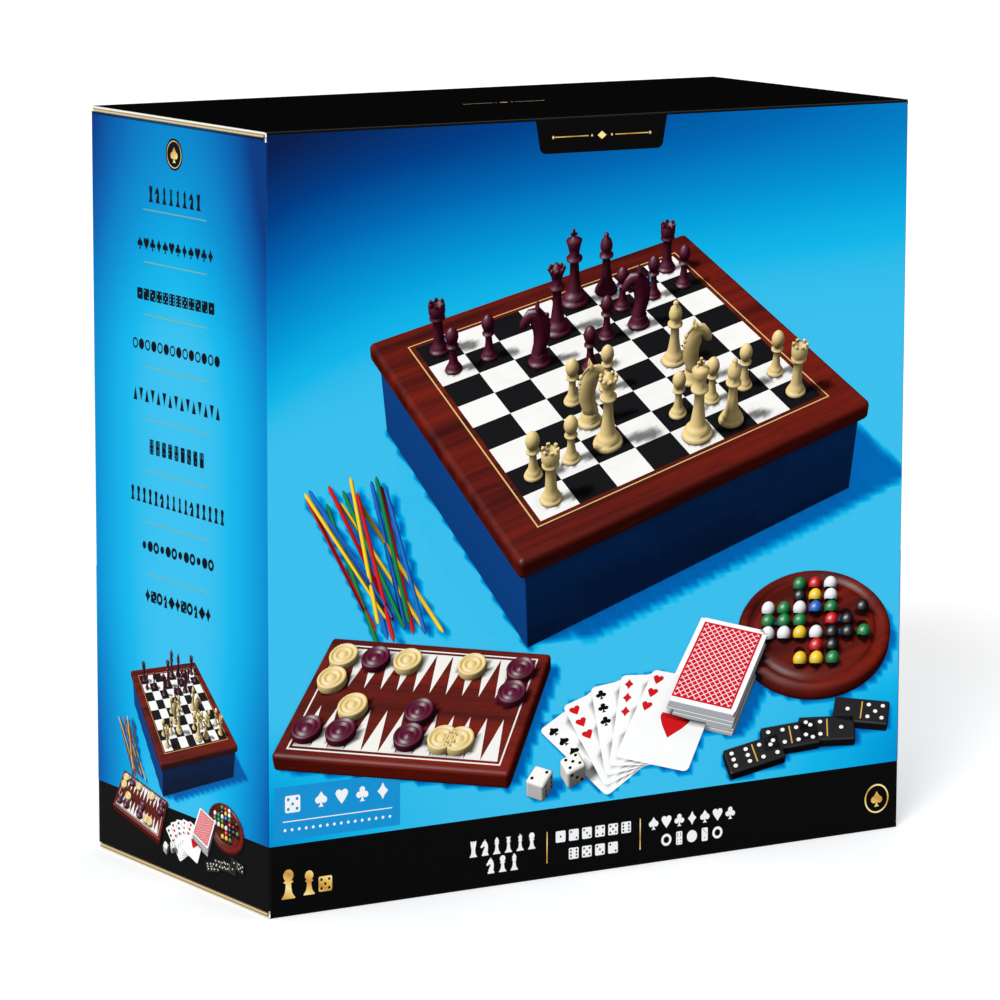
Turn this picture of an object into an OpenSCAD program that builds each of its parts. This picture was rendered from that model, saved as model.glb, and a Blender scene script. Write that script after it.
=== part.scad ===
// Games compendium: a printed corrugated carton that stands upright, with two
// foam end caps inside that hold a wooden games cabinet and its playing pieces.
// Millimetres. Origin at the middle of the underside, front of the carton
// towards -Y, +Z up. The carton is sized from the inside out: cabinet, foam,
// fits and board thickness give its width, depth and height.

/* [Carton board] */
// Thickness of the corrugated board
board_t = 2.4; // [2:0.1:3.6]
// Outer radius of a folded edge
crease_r = 1.2; // [0.6:0.1:2]
// Length of the short flap that hangs from the back panel
inner_flap_l = 60; // [40:1:70]
// Length of the dust flaps that hang from the side panels
dust_flap_l = 84; // [74:1:95]
// Distance of a flap's root from the corners of the carton
flap_inset = 3; // [2:0.5:5]
// Set-back of the outer flap's free edge from the far panel
outer_flap_short = 2; // [1:0.5:4]
// Angle at which a dust flap's front edge tapers
dust_taper = 27; // [27:1:32]
// Clipped corner of a side panel at the end of its vertical folds
panel_clip = 2; // [1:0.5:3]
// Width of the glued side seam
seam_w = 32; // [20:1:40]
// Distance of the glued seam from the top and bottom of the carton
seam_inset = 12; // [8:1:20]

/* [Foam end caps] */
// Foam between the cabinet's end and the carton's side panel
foam_side = 22; // [15:1:40]
// Foam over the chessboard face and under the cabinet's base
foam_face = 11; // [8:1:25]
// Foam over and under the cabinet as it stands in the carton
foam_end = 18.5; // [12:0.5:30]
// How far a cap reaches over the cabinet from its end
cap_reach = 40; // [25:1:60]
// Chamfer on a cap's long outer edges
cap_chamfer = 6; // [2:1:8]
// Width of a relief groove in a cap's outer side
cap_groove_w = 34; // [20:1:50]
// Depth of a relief groove in a cap's outer side
cap_groove_d = 8; // [4:1:10]

/* [Cabinet] */
// Width of the chessboard top
cabinet_w = 324; // [292:1:360]
// Depth of the chessboard top, from drawer side to back
cabinet_l = 330; // [310:1:360]
// Overhang of the top beyond the cabinet's walls
top_overhang = 6; // [4:1:8]
// Thickness of the chessboard top
top_t = 18; // [14:1:24]
// Radius of the top's rounded edge
top_edge_r = 6; // [3:0.5:6.5]
// Radius of the top's corners seen from above
top_corner_r = 10; // [7:1:20]
// Thickness of the cabinet's side walls
side_t = 10; // [8:0.5:14]
// Thickness of the cabinet's back wall
back_t = 9; // [6:0.5:12]
// Thickness of the cabinet's base
base_t = 9; // [6:0.5:12]
// Thickness of the two sliding game boards
play_board_t = 16; // [10:0.5:20]
// Radius of a sliding board's front corners
play_corner_r = 24; // [10:1:40]
// Height of a runner
runner_t = 6; // [4:0.5:10]
// Width of a runner
runner_w = 12; // [8:1:18]

/* [Drawer] */
// Height of the drawer
drawer_h = 67.4; // [60:0.1:90]
// Thickness of the drawer's sides and back
drawer_side_t = 8; // [6:0.5:8]
// Thickness of the drawer's front
drawer_front_t = 10; // [8:0.5:14]
// Thickness of the drawer's bottom
drawer_bottom_t = 4; // [3:0.5:4.5]
// Thickness of a divider
divider_t = 4; // [3:0.5:4.5]
// Drop of the dividers below the drawer's rim
divider_drop = 6; // [3:1:15]
// Length of the finger slot in the drawer's front
slot_l = 76; // [50:1:100]
// Height of the finger slot in the drawer's front
slot_h = 18; // [14:1:24]
// Distance of the finger slot's middle below the drawer's rim
slot_drop = 27; // [20:1:40]
// Free width beside the dice and beside the card boxes in their bays
bay_play = 3; // [2:0.5:6]

/* [Playing pieces] */
// Diameter of a marble
marble_d = 14; // [11:0.5:16]
// Number of marbles
marble_count = 60; // [20:4:80]
// Diameter of a pick-up stick
stick_d = 3; // [2.5:0.1:3.2]
// Length of a pick-up stick
stick_l = 176; // [120:1:200]
// Number of pick-up sticks
stick_count = 32; // [16:1:41]
// Diameter of a draughtsman
draught_d = 26; // [20:0.5:28]
// Thickness of a draughtsman
draught_t = 6; // [4:0.5:8]
// Edge of a die
die_a = 16; // [12:0.5:18]
// Length of a playing-card box
card_box_l = 92; // [86:1:104]
// Width of a playing-card box
card_box_w = 66; // [58:1:70]
// Thickness of a playing-card box
card_box_t = 20; // [15:1:24]
// Length of a domino
domino_l = 44; // [36:1:46]
// Width of a domino
domino_w = 22; // [18:1:24]
// Thickness of a domino
domino_t = 7; // [5:0.5:7]
// Height of a chess king
king_h = 52; // [44:1:58]
// Diameter of a chess piece's foot
chess_foot_d = 20; // [16:0.5:22]
// Width of the rules booklet
booklet_w = 200; // [148:1:205]
// Height of the rules booklet
booklet_h = 297; // [210:1:297]
// Thickness of the rules booklet
booklet_t = 3; // [1:0.5:6]

/* [Fits] */
// Clearance between a foam cap and the cabinet
cap_fit = 0.3; // [0.2:0.1:1]
// Clearance between a foam cap and the carton
carton_fit = 0.3; // [0.2:0.1:1]
// Side clearance of the drawer and the sliding boards
slide_clear = 1; // [0.5:0.1:1.5]
// Clearance between a sliding board and the runner under it
runner_fit = 0.3; // [0.2:0.1:0.6]
// Free height over a sliding board or the drawer
over_gap = 2; // [1:0.5:4]
// Clearance between loose pieces that lie side by side
loose_fit = 0.3; // [0.2:0.05:0.4]

/* [Hidden] */

// Print and material colours
blue_print = [0.05, 0.50, 0.82];
black_print = [0.04, 0.04, 0.05];
kraft = [0.76, 0.66, 0.48];
foam_white = [0.96, 0.96, 0.95];
mahogany = [0.33, 0.07, 0.05];
navy_paint = [0.04, 0.12, 0.27];
cream = [0.90, 0.74, 0.45];
burgundy = [0.36, 0.06, 0.16];
ivory = [0.96, 0.95, 0.92];

// Smoothness of round shapes and overrun of a cutting shape
$fn = 48;
cut = 1;

// Cabinet heights, from its base to its top
drawer_z = base_t + slide_clear;
runners_lower_z = drawer_z + drawer_h + over_gap;
backgammon_z = runners_lower_z + runner_t + runner_fit;
runners_upper_z = backgammon_z + play_board_t + over_gap;
ludo_z = runners_upper_z + runner_t + runner_fit;
top_z = ludo_z + play_board_t + over_gap;
cabinet_h = top_z + top_t;

// Cabinet walls and the space between them
body_w = cabinet_w - 2 * top_overhang;
body_l = cabinet_l - 2 * top_overhang;
bay_w = body_w - 2 * side_t;
slide_w = bay_w - 2 * slide_clear;
slide_l = body_l - back_t - runner_fit;
slide_back_y = body_l / 2 - back_t - runner_fit;
// Edge radius of a sliding board: nearly half round
play_edge_r = 0.45 * play_board_t;

// Drawer inside
drawer_in_w = slide_w - 2 * drawer_side_t;
drawer_in_back_y = slide_back_y - drawer_side_t;
drawer_in_front_y = drawer_in_back_y - slide_l + drawer_front_t + drawer_side_t;
drawer_in_l = drawer_in_back_y - drawer_in_front_y;
drawer_floor_z = drawer_z + drawer_bottom_t;
divider_h = drawer_h - drawer_bottom_t - divider_drop;
slot_z = drawer_z + drawer_h - slot_drop;

// Widths of the drawer bays: two fit their pieces, the outer two share the rest
stick_bay_w = 2 * die_a + bay_play;
card_bay_w = card_box_l + bay_play;
marble_bay_w = (drawer_in_w - stick_bay_w - card_bay_w - 3 * divider_t) / 2;
draught_bay_w = marble_bay_w;

// Left edge of each drawer bay
marble_bay_x = -drawer_in_w / 2;
stick_bay_x = marble_bay_x + marble_bay_w + divider_t;
card_bay_x = stick_bay_x + stick_bay_w + divider_t;
draught_bay_x = card_bay_x + card_bay_w + divider_t;

// Carton outside and the cabinet's place in it
carton_w = cabinet_w + 2 * (foam_side + cap_fit + carton_fit + board_t);
carton_d = cabinet_h + 2 * (foam_face + cap_fit + carton_fit + board_t) + board_t;
carton_h = cabinet_l + 2 * (foam_end + cap_fit + carton_fit + 2 * board_t);
cabinet_front_y = -carton_d / 2 + board_t + carton_fit + foam_face + cap_fit;
cabinet_foot_z = 2 * board_t + carton_fit + foam_end + cap_fit;

// ---------------------------------------------------------------- carton

// Cuts the fold along +X at y = 0: a mitre below it and a rounded outer edge
module fold_cut(len) {
    rotate([90, 0, 90])
        linear_extrude(len)
            polygon([[-cut, cut], [board_t + cut, -board_t - cut], [-cut, -board_t - cut]]);
    difference() {
        translate([0, -cut, -crease_r])
            cube([len, crease_r + cut, crease_r + cut]);
        translate([-cut, crease_r, -crease_r])
            rotate([0, 90, 0])
                cylinder(r = crease_r, h = len + 2 * cut);
    }
}

// Board whose printed face is z = 0, from the origin to w, h. fold says which of its
// left, right, bottom and top edges are folded; a square end of length square_end
// is left at both ends of the left and right folds.
module board_panel(w, h, fold, square_end = -cut) {
    side_fold_l = h - 2 * square_end;
    difference() {
        translate([0, 0, -board_t])
            cube([w, h, board_t]);
        if (fold[0])
            translate([0, h - square_end, 0])
                rotate([0, 0, -90])
                    fold_cut(side_fold_l);
        if (fold[1])
            translate([w, square_end, 0])
                rotate([0, 0, 90])
                    fold_cut(side_fold_l);
        if (fold[2])
            translate([-cut, 0, 0])
                fold_cut(w + 2 * cut);
        if (fold[3])
            translate([w + cut, h, 0])
                rotate([0, 0, 180])
                    fold_cut(w + 2 * cut);
    }
}

// Side panel with its four corners clipped where the slots between the flaps end
module clipped_panel(w, h) {
    difference() {
        board_panel(w, h, [true, true, true, true]);
        for (x = [0, w], y = [0, h])
            translate([x, y, -board_t / 2])
                rotate([0, 0, 45])
                    cube([panel_clip * sqrt(2), panel_clip * sqrt(2), board_t + 2 * cut], center = true);
    }
}

// Flap folded along y = 0, cut to an outline seen from its printed side
module cut_flap(w, l, outline) {
    intersection() {
        board_panel(w, l, [false, false, true, false]);
        translate([0, 0, -board_t - cut])
            linear_extrude(board_t + 2 * cut)
                polygon(outline);
    }
}

module front_panel() {
    color(blue_print)
        translate([-carton_w / 2, -carton_d / 2, 0])
            rotate([90, 0, 0])
                board_panel(carton_w, carton_h, [true, true, true, true], board_t);
}

module back_panel() {
    color(blue_print)
        translate([carton_w / 2, carton_d / 2, board_t])
            rotate([90, 0, 180])
                board_panel(carton_w, carton_h - 2 * board_t, [true, true, true, true]);
}

module left_panel() {
    color(blue_print)
        translate([-carton_w / 2, carton_d / 2, board_t])
            rotate([90, 0, -90])
                clipped_panel(carton_d, carton_h - 2 * board_t);
}

module right_panel() {
    color(blue_print)
        mirror([1, 0, 0])
            left_panel();
}

// Seam tab of the right panel, glued to the inside of the back panel
module glue_tab() {
    h = carton_h - 2 * seam_inset;
    color(kraft)
        translate([carton_w / 2 - board_t, carton_d / 2 - board_t, seam_inset])
            rotate([90, 0, 0])
                linear_extrude(board_t)
                    polygon([[0, 0], [-seam_w, seam_inset], [-seam_w, h - seam_inset], [0, h]]);
}

module outer_flap() {
    translate([-carton_w / 2, -carton_d / 2, carton_h])
        board_panel(carton_w, carton_d - outer_flap_short, [false, false, true, false]);
}

module inner_flap() {
    outline = [
        [flap_inset, -cut],
        [carton_w - flap_inset, -cut],
        [carton_w - flap_inset, 0],
        [carton_w - flap_inset - inner_flap_l, inner_flap_l],
        [flap_inset + inner_flap_l, inner_flap_l],
        [flap_inset, 0]
    ];
    translate([carton_w / 2, carton_d / 2, carton_h - board_t])
        rotate([0, 0, 180])
            cut_flap(carton_w, inner_flap_l, outline);
}

// Left dust flap: its back edge runs beside the inner flap, its front edge tapers
module dust_flap() {
    outline = [
        [flap_inset, 0],
        [flap_inset + inner_flap_l, inner_flap_l],
        [flap_inset + inner_flap_l, dust_flap_l],
        [carton_d - flap_inset - dust_flap_l * tan(dust_taper), dust_flap_l],
        [carton_d - flap_inset, 0],
        [carton_d - flap_inset, -cut],
        [flap_inset, -cut]
    ];
    translate([-carton_w / 2, carton_d / 2, carton_h - board_t])
        rotate([0, 0, -90])
            cut_flap(carton_d, dust_flap_l, outline);
}

// The bottom is folded like the top, upside down
module at_bottom() {
    translate([0, 0, carton_h])
        mirror([0, 0, 1])
            children();
}

module top_outer_flap() {
    color(black_print)
        outer_flap();
}

module top_inner_flap() {
    color(kraft)
        inner_flap();
}

module top_dust_flap_left() {
    color(kraft)
        dust_flap();
}

module top_dust_flap_right() {
    color(kraft)
        mirror([1, 0, 0])
            dust_flap();
}

module bottom_outer_flap() {
    color(black_print)
        at_bottom()
            outer_flap();
}

module bottom_inner_flap() {
    color(kraft)
        at_bottom()
            inner_flap();
}

module bottom_dust_flap_left() {
    color(kraft)
        at_bottom()
            dust_flap();
}

module bottom_dust_flap_right() {
    color(kraft)
        at_bottom()
            mirror([1, 0, 0])
                dust_flap();
}

// ---------------------------------------------------------------- packing

// Foam cap over the cabinet's left end, with a pocket for it and grooves outside
module foam_cap() {
    x0 = -carton_w / 2 + board_t + carton_fit;
    x1 = -cabinet_w / 2 + cap_reach;
    y0 = -carton_d / 2 + board_t + carton_fit;
    y1 = carton_d / 2 - 2 * board_t - carton_fit;
    z0 = 2 * board_t + carton_fit;
    z1 = carton_h - z0;
    pocket_x = -cabinet_w / 2 - cap_fit;
    groove_pitch = (z1 - z0) / 3;
    chamfer_a = cap_chamfer * sqrt(2);
    difference() {
        translate([x0, y0, z0])
            cube([x1 - x0, y1 - y0, z1 - z0]);
        translate([pocket_x, cabinet_front_y - cap_fit, cabinet_foot_z - cap_fit])
            cube([cabinet_w, cabinet_h + 2 * cap_fit, cabinet_l + 2 * cap_fit]);
        for (y = [y0, y1])
            translate([x0, y, (z0 + z1) / 2])
                rotate([0, 0, 45])
                    cube([chamfer_a, chamfer_a, z1 - z0 + 2 * cut], center = true);
        for (i = [-1, 0, 1])
            translate([x0 - cut, y0 - cut, (z0 + z1) / 2 + i * groove_pitch - cap_groove_w / 2])
                cube([cap_groove_d + cut, y1 - y0 + 2 * cut, cap_groove_w]);
    }
}

module foam_cap_left() {
    color(foam_white)
        foam_cap();
}

module foam_cap_right() {
    color(foam_white)
        mirror([1, 0, 0])
            foam_cap();
}

// Booklet that stands on the bottom flap between the chessboard and the front panel
module rules_booklet() {
    color(ivory)
        translate([-booklet_w / 2, -carton_d / 2 + board_t + loose_fit, board_t])
            cube([booklet_w, booklet_t, booklet_h]);
}

// ---------------------------------------------------------------- cabinet

// The cabinet is drawn as it is used, chessboard up and drawer towards -Y, from the
// middle of its base. In the carton its chessboard faces the front, its drawer up.
module in_carton() {
    translate([0, cabinet_front_y + cabinet_h, cabinet_foot_z + cabinet_l / 2])
        rotate([-90, 0, 180])
            children();
}

// Bar outline from 0 to w and 0 to h with round corners
module round_outline(w, h, r) {
    translate([r, 0])
        square([w - 2 * r, h]);
    translate([0, r])
        square([w, h - 2 * r]);
    for (x = [r, w - r], y = [r, h - r])
        translate([x, y])
            circle(r = r);
}

// Slot outline with half-round ends, about its middle
module obround(l, h) {
    square([l - h, h], center = true);
    for (side = [-1, 1])
        translate([side * (l - h) / 2, 0])
            circle(d = h);
}

// Plate with a rounded edge all round and round corners seen from above
module cushion_plate(w, l, t, edge_r, corner_r) {
    intersection() {
        translate([-w / 2, -l / 2, 0])
            linear_extrude(t)
                round_outline(w, l, corner_r);
        translate([-w / 2, l / 2, 0])
            rotate([90, 0, 0])
                linear_extrude(l)
                    round_outline(w, t, edge_r);
        translate([-w / 2, -l / 2, 0])
            rotate([90, 0, 90])
                linear_extrude(w)
                    round_outline(l, t, edge_r);
    }
}

// Sliding board with round front corners and a half-round front edge
module sliding_board(z) {
    front_y = slide_back_y - slide_l;
    translate([-slide_w / 2, front_y, z])
        intersection() {
            linear_extrude(play_board_t)
                union() {
                    round_outline(slide_w, slide_l, play_corner_r);
                    translate([0, slide_l / 2])
                        square([slide_w, slide_l / 2]);
                }
            rotate([90, 0, 90])
                linear_extrude(slide_w)
                    union() {
                        round_outline(slide_l, play_board_t, play_edge_r);
                        translate([slide_l / 2, 0])
                            square([slide_l / 2, play_board_t]);
                    }
        }
}

// Pair of runners on the inner faces of the side walls
module runner_pair(z) {
    for (side = [-1, 1])
        translate([side * (bay_w - runner_w) / 2, -back_t / 2, z + runner_t / 2])
            cube([runner_w, body_l - back_t, runner_t], center = true);
}

module side_wall(side) {
    translate([side * (body_w - side_t) / 2, 0, top_z / 2])
        cube([side_t, body_l, top_z], center = true);
}

module cabinet_top() {
    color(mahogany)
        in_carton()
            translate([0, 0, top_z])
                cushion_plate(cabinet_w, cabinet_l, top_t, top_edge_r, top_corner_r);
}

module cabinet_side_left() {
    color(navy_paint)
        in_carton()
            side_wall(-1);
}

module cabinet_side_right() {
    color(navy_paint)
        in_carton()
            side_wall(1);
}

module cabinet_back() {
    color(navy_paint)
        in_carton()
            translate([-bay_w / 2, body_l / 2 - back_t, 0])
                cube([bay_w, back_t, top_z]);
}

module cabinet_base() {
    color(mahogany)
        in_carton()
            translate([-bay_w / 2, -body_l / 2, 0])
                cube([bay_w, body_l - back_t, base_t]);
}

module runners_upper() {
    color(mahogany)
        in_carton()
            runner_pair(runners_upper_z);
}

module runners_lower() {
    color(mahogany)
        in_carton()
            runner_pair(runners_lower_z);
}

module ludo_board() {
    color(mahogany)
        in_carton()
            sliding_board(ludo_z);
}

module backgammon_board() {
    color(mahogany)
        in_carton()
            sliding_board(backgammon_z);
}

// ---------------------------------------------------------------- drawer

module drawer_side(side) {
    middle_x = side * (slide_w - drawer_side_t) / 2;
    translate([middle_x - drawer_side_t / 2, drawer_in_front_y, drawer_z])
        cube([drawer_side_t, drawer_in_l, drawer_h]);
}

// Drawer front with an obround finger slot through it
module drawer_front() {
    color(navy_paint)
        in_carton()
            difference() {
                translate([-slide_w / 2, drawer_in_front_y - drawer_front_t, drawer_z])
                    cube([slide_w, drawer_front_t, drawer_h]);
                translate([0, drawer_in_front_y + cut, slot_z])
                    rotate([90, 0, 0])
                        linear_extrude(drawer_front_t + 2 * cut)
                            obround(slot_l, slot_h);
            }
}

module drawer_side_left() {
    color(mahogany)
        in_carton()
            drawer_side(-1);
}

module drawer_side_right() {
    color(mahogany)
        in_carton()
            drawer_side(1);
}

module drawer_back() {
    color(mahogany)
        in_carton()
            translate([-slide_w / 2, drawer_in_back_y, drawer_z])
                cube([slide_w, drawer_side_t, drawer_h]);
}

module drawer_bottom() {
    color(mahogany)
        in_carton()
            translate([-drawer_in_w / 2, drawer_in_front_y, drawer_z])
                cube([drawer_in_w, drawer_in_l, drawer_bottom_t]);
}

module drawer_dividers() {
    color(mahogany)
        in_carton()
            for (x = [stick_bay_x, card_bay_x, draught_bay_x])
                translate([x - divider_t, drawer_in_front_y, drawer_floor_z])
                    cube([divider_t, drawer_in_l, divider_h]);
}

// ---------------------------------------------------------------- playing pieces

// Corner of a bay where its pieces are stacked: the drawer's back, seen as used.
// From there x runs to the right, y towards the drawer's front and z up.
module bay_corner(x, from_back = 0) {
    translate([x + loose_fit, drawer_in_back_y - loose_fit - from_back, drawer_floor_z + loose_fit])
        mirror([0, 1, 0])
            children();
}

// Puts count copies of a piece with the given size into rows: across, up, then out
module stack(count, across, up, size) {
    for (i = [0 : count - 1]) {
        column = i % across;
        layer = floor(i / across) % up;
        row = floor(i / (across * up));
        translate([
            column * (size[0] + loose_fit),
            row * (size[1] + loose_fit),
            layer * (size[2] + loose_fit)
        ])
            children();
    }
}

// How many pieces of a size fit side by side in a width
function fitting(width, size) = floor((width - loose_fit) / (size + loose_fit));

stack_h = drawer_h - drawer_bottom_t - loose_fit;
marble_across = fitting(marble_bay_w, marble_d);
marble_up = fitting(stack_h, marble_d);
marble_rows = ceil(marble_count / (marble_across * marble_up));
marble_stack_l = marble_rows * (marble_d + loose_fit);

module marbles() {
    color([0.85, 0.12, 0.10])
        in_carton()
            bay_corner(marble_bay_x)
                stack(marble_count, marble_across, marble_up, [marble_d, marble_d, marble_d])
                    translate([marble_d / 2, marble_d / 2, marble_d / 2])
                        sphere(d = marble_d);
}

module pick_up_sticks() {
    across = fitting(stick_bay_w, stick_d);
    color([0.10, 0.55, 0.25])
        in_carton()
            bay_corner(stick_bay_x)
                stack(stick_count, across, ceil(stick_count / across), [stick_d, stick_l, stick_d])
                    translate([stick_d / 2, 0, stick_d / 2])
                        rotate([-90, 0, 0])
                            cylinder(d = stick_d, h = stick_l, $fn = 16);
}

// Die with its corners cut by a ball, as dice are tumbled
module die() {
    translate([die_a / 2, die_a / 2, die_a / 2])
        intersection() {
            cube(die_a, center = true);
            sphere(d = die_a * 1.5);
        }
}

module dice() {
    color(ivory)
        in_carton()
            bay_corner(stick_bay_x, stick_l + loose_fit)
                stack(5, fitting(stick_bay_w, die_a), 2, [die_a, die_a, die_a])
                    die();
}

module card_packs() {
    color(black_print)
        in_carton()
            bay_corner(card_bay_x)
                stack(2, 1, 2, [card_box_l, card_box_w, card_box_t])
                    cube([card_box_l, card_box_w, card_box_t]);
}

// Domino with the groove between its two halves
module domino() {
    groove = domino_t * 0.12;
    difference() {
        cube([domino_l, domino_w, domino_t]);
        translate([domino_l / 2 - groove, -cut, domino_t - groove])
            cube([2 * groove, domino_w + 2 * cut, groove + cut]);
    }
}

module dominoes() {
    color(black_print)
        in_carton()
            bay_corner(card_bay_x, card_box_w + loose_fit)
                stack(28, fitting(card_bay_w, domino_l), fitting(stack_h, domino_t),
                      [domino_l, domino_w, domino_t])
                    domino();
}

// Draughtsman lying on its rim, with a turned hollow and ring on both faces
module draughtsman() {
    r = draught_d / 2;
    step = draught_t * 0.15;
    translate([r, 0, r])
        rotate([-90, 0, 0])
            rotate_extrude()
                polygon([
                    [0, step], [r * 0.30, step], [r * 0.36, 0], [r * 0.48, 0],
                    [r * 0.54, step], [r * 0.72, step], [r * 0.80, 0], [r, 0],
                    [r, draught_t], [r * 0.80, draught_t], [r * 0.72, draught_t - step],
                    [r * 0.54, draught_t - step], [r * 0.48, draught_t],
                    [r * 0.36, draught_t], [r * 0.30, draught_t - step], [0, draught_t - step]
                ]);
}

// Two rolls of fifteen draughtsmen in one layer of their bay
module draughts_roll(layer) {
    roll = [draught_d, draught_t, draught_d];
    in_carton()
        bay_corner(draught_bay_x)
            translate([0, 0, layer * (draught_d + loose_fit)])
                stack(15, fitting(draught_bay_w, draught_d), 1, roll)
                    draughtsman();
}

module draughts_light() {
    color(cream)
        draughts_roll(0);
}

module draughts_dark() {
    color(burgundy)
        draughts_roll(1);
}

draughts_rows = ceil(15 / fitting(draught_bay_w, draught_d));
draughts_stack_l = draughts_rows * (draught_t + loose_fit);

// Heights of the chess pieces, in parts of the king's height
pawn_h = king_h * 0.58;
rook_h = king_h * 0.66;
knight_h = king_h * 0.77;
bishop_h = king_h * 0.82;
queen_h = king_h * 0.93;

// Turned foot, stem and collar that all chess pieces share, up to height h
module chess_stem(h) {
    r = chess_foot_d / 2;
    rotate_extrude()
        polygon([
            [0, 0], [r, 0], [r, h * 0.08], [r * 0.84, h * 0.14], [r * 0.66, h * 0.17],
            [r * 0.70, h * 0.22], [r * 0.44, h * 0.34], [r * 0.34, h * 0.60],
            [r * 0.36, h * 0.86], [r * 0.62, h * 0.90], [r * 0.62, h * 0.94],
            [r * 0.40, h], [0, h]
        ]);
}

module pawn() {
    head_r = chess_foot_d * 0.25;
    chess_stem(pawn_h - 1.7 * head_r);
    translate([0, 0, pawn_h - head_r])
        sphere(r = head_r);
}

// Rook with a cup on top and four notches in its wall
module rook() {
    cup_h = rook_h * 0.22;
    cup_r = chess_foot_d * 0.34;
    wall = cup_r * 0.35;
    chess_stem(rook_h - cup_h);
    translate([0, 0, rook_h - cup_h])
        difference() {
            cylinder(r = cup_r, h = cup_h);
            translate([0, 0, cup_h * 0.5])
                cylinder(r = cup_r - wall, h = cup_h);
            for (a = [0, 90])
                rotate([0, 0, a])
                    translate([0, 0, cup_h])
                        cube([3 * cup_r, wall, cup_h], center = true);
        }
}

// Knight: a horse's head and neck cut from a slab, on the shared foot
module knight() {
    u = knight_h * 0.62;
    slab = chess_foot_d * 0.34;
    chess_stem(knight_h - u);
    translate([0, slab / 2, knight_h - u])
        rotate([90, 0, 0])
            linear_extrude(slab)
                polygon([
                    [-0.22 * u, 0], [0.20 * u, 0], [0.14 * u, 0.24 * u], [0.03 * u, 0.42 * u],
                    [0.16 * u, 0.50 * u], [0.29 * u, 0.44 * u], [0.31 * u, 0.58 * u],
                    [0.12 * u, 0.80 * u], [0.04 * u, 0.88 * u], [0.00 * u, u],
                    [-0.08 * u, 0.88 * u], [-0.20 * u, 0.72 * u], [-0.27 * u, 0.36 * u]
                ]);
}

// Bishop with an onion-shaped mitre and a slanted cut in it
module bishop() {
    mitre_r = chess_foot_d * 0.24;
    mitre_h = bishop_h * 0.27;
    chess_stem(bishop_h - mitre_h);
    translate([0, 0, bishop_h - mitre_h])
        difference() {
            union() {
                rotate_extrude()
                    polygon([
                        [0, -cut], [mitre_r * 0.7, -cut], [mitre_r, mitre_h * 0.32],
                        [mitre_r * 0.8, mitre_h * 0.58], [0, mitre_h * 0.9]
                    ]);
                translate([0, 0, mitre_h - mitre_r * 0.35])
                    sphere(r = mitre_r * 0.35);
            }
            translate([mitre_r * 0.8, 0, mitre_h * 0.5])
                rotate([0, -35, 0])
                    cube([mitre_r, 3 * mitre_r, mitre_r * 0.2], center = true);
        }
}

// Queen with a flared coronet and a small ball
module queen() {
    crown_h = queen_h * 0.22;
    crown_r = chess_foot_d * 0.30;
    ball_r = chess_foot_d * 0.09;
    chess_stem(queen_h - crown_h);
    translate([0, 0, queen_h - crown_h])
        rotate_extrude()
            polygon([
                [0, -cut], [crown_r * 0.55, -cut], [crown_r, crown_h * 0.62],
                [crown_r * 0.78, crown_h * 0.62], [crown_r * 0.3, crown_h * 0.8], [0, crown_h * 0.8]
            ]);
    translate([0, 0, queen_h - ball_r])
        sphere(r = ball_r);
}

// King with a domed crown and a plain cross
module king() {
    crown_h = king_h * 0.26;
    crown_r = chess_foot_d * 0.30;
    cross_h = king_h * 0.10;
    bar = cross_h * 0.32;
    chess_stem(king_h - crown_h);
    translate([0, 0, king_h - crown_h])
        rotate_extrude()
            polygon([
                [0, -cut], [crown_r * 0.55, -cut], [crown_r, crown_h * 0.46],
                [crown_r * 0.7, crown_h * 0.56], [crown_r * 0.25, crown_h * 0.66], [0, crown_h * 0.66]
            ]);
    translate([0, 0, king_h - cross_h / 2 - cut / 2])
        cube([bar, bar, cross_h + cut], center = true);
    translate([0, 0, king_h - cross_h * 0.45])
        cube([cross_h * 0.8, bar, bar], center = true);
}

// Pieces that share one lane of the chess stack, foot to the drawer's back
chess_lanes = [
    ["pawn", "pawn"], ["pawn", "pawn"], ["pawn", "pawn"], ["pawn", "pawn"],
    ["rook", "bishop"], ["rook", "bishop"], ["knight", "queen"], ["knight", "king"]
];

function chess_h(name) =
    name == "pawn" ? pawn_h :
    name == "rook" ? rook_h :
    name == "knight" ? knight_h :
    name == "bishop" ? bishop_h :
    name == "queen" ? queen_h : king_h;

module chess_piece(name) {
    if (name == "pawn") pawn();
    if (name == "rook") rook();
    if (name == "knight") knight();
    if (name == "bishop") bishop();
    if (name == "queen") queen();
    if (name == "king") king();
}

// Chess pieces lie along the bay, in lanes side by side, one over another, then further out
module chess_set(x, w, from_back) {
    across = fitting(w, chess_foot_d);
    up = fitting(stack_h, chess_foot_d);
    pitch = chess_foot_d + loose_fit;
    lane_l = knight_h + king_h + 2 * loose_fit;
    in_carton()
        bay_corner(x, from_back)
            for (i = [0 : len(chess_lanes) - 1])
                for (j = [0, 1])
                    translate([
                        (i % across) * pitch + chess_foot_d / 2,
                        floor(i / (across * up)) * lane_l
                            + j * (chess_h(chess_lanes[i][0]) + loose_fit),
                        (floor(i / across) % up) * pitch + chess_foot_d / 2
                    ])
                        rotate([-90, 0, 0])
                            chess_piece(chess_lanes[i][j]);
}

module chess_light() {
    color(cream)
        chess_set(marble_bay_x, marble_bay_w, marble_stack_l + loose_fit);
}

module chess_dark() {
    color(burgundy)
        chess_set(draught_bay_x, draught_bay_w, draughts_stack_l + loose_fit);
}

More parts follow.
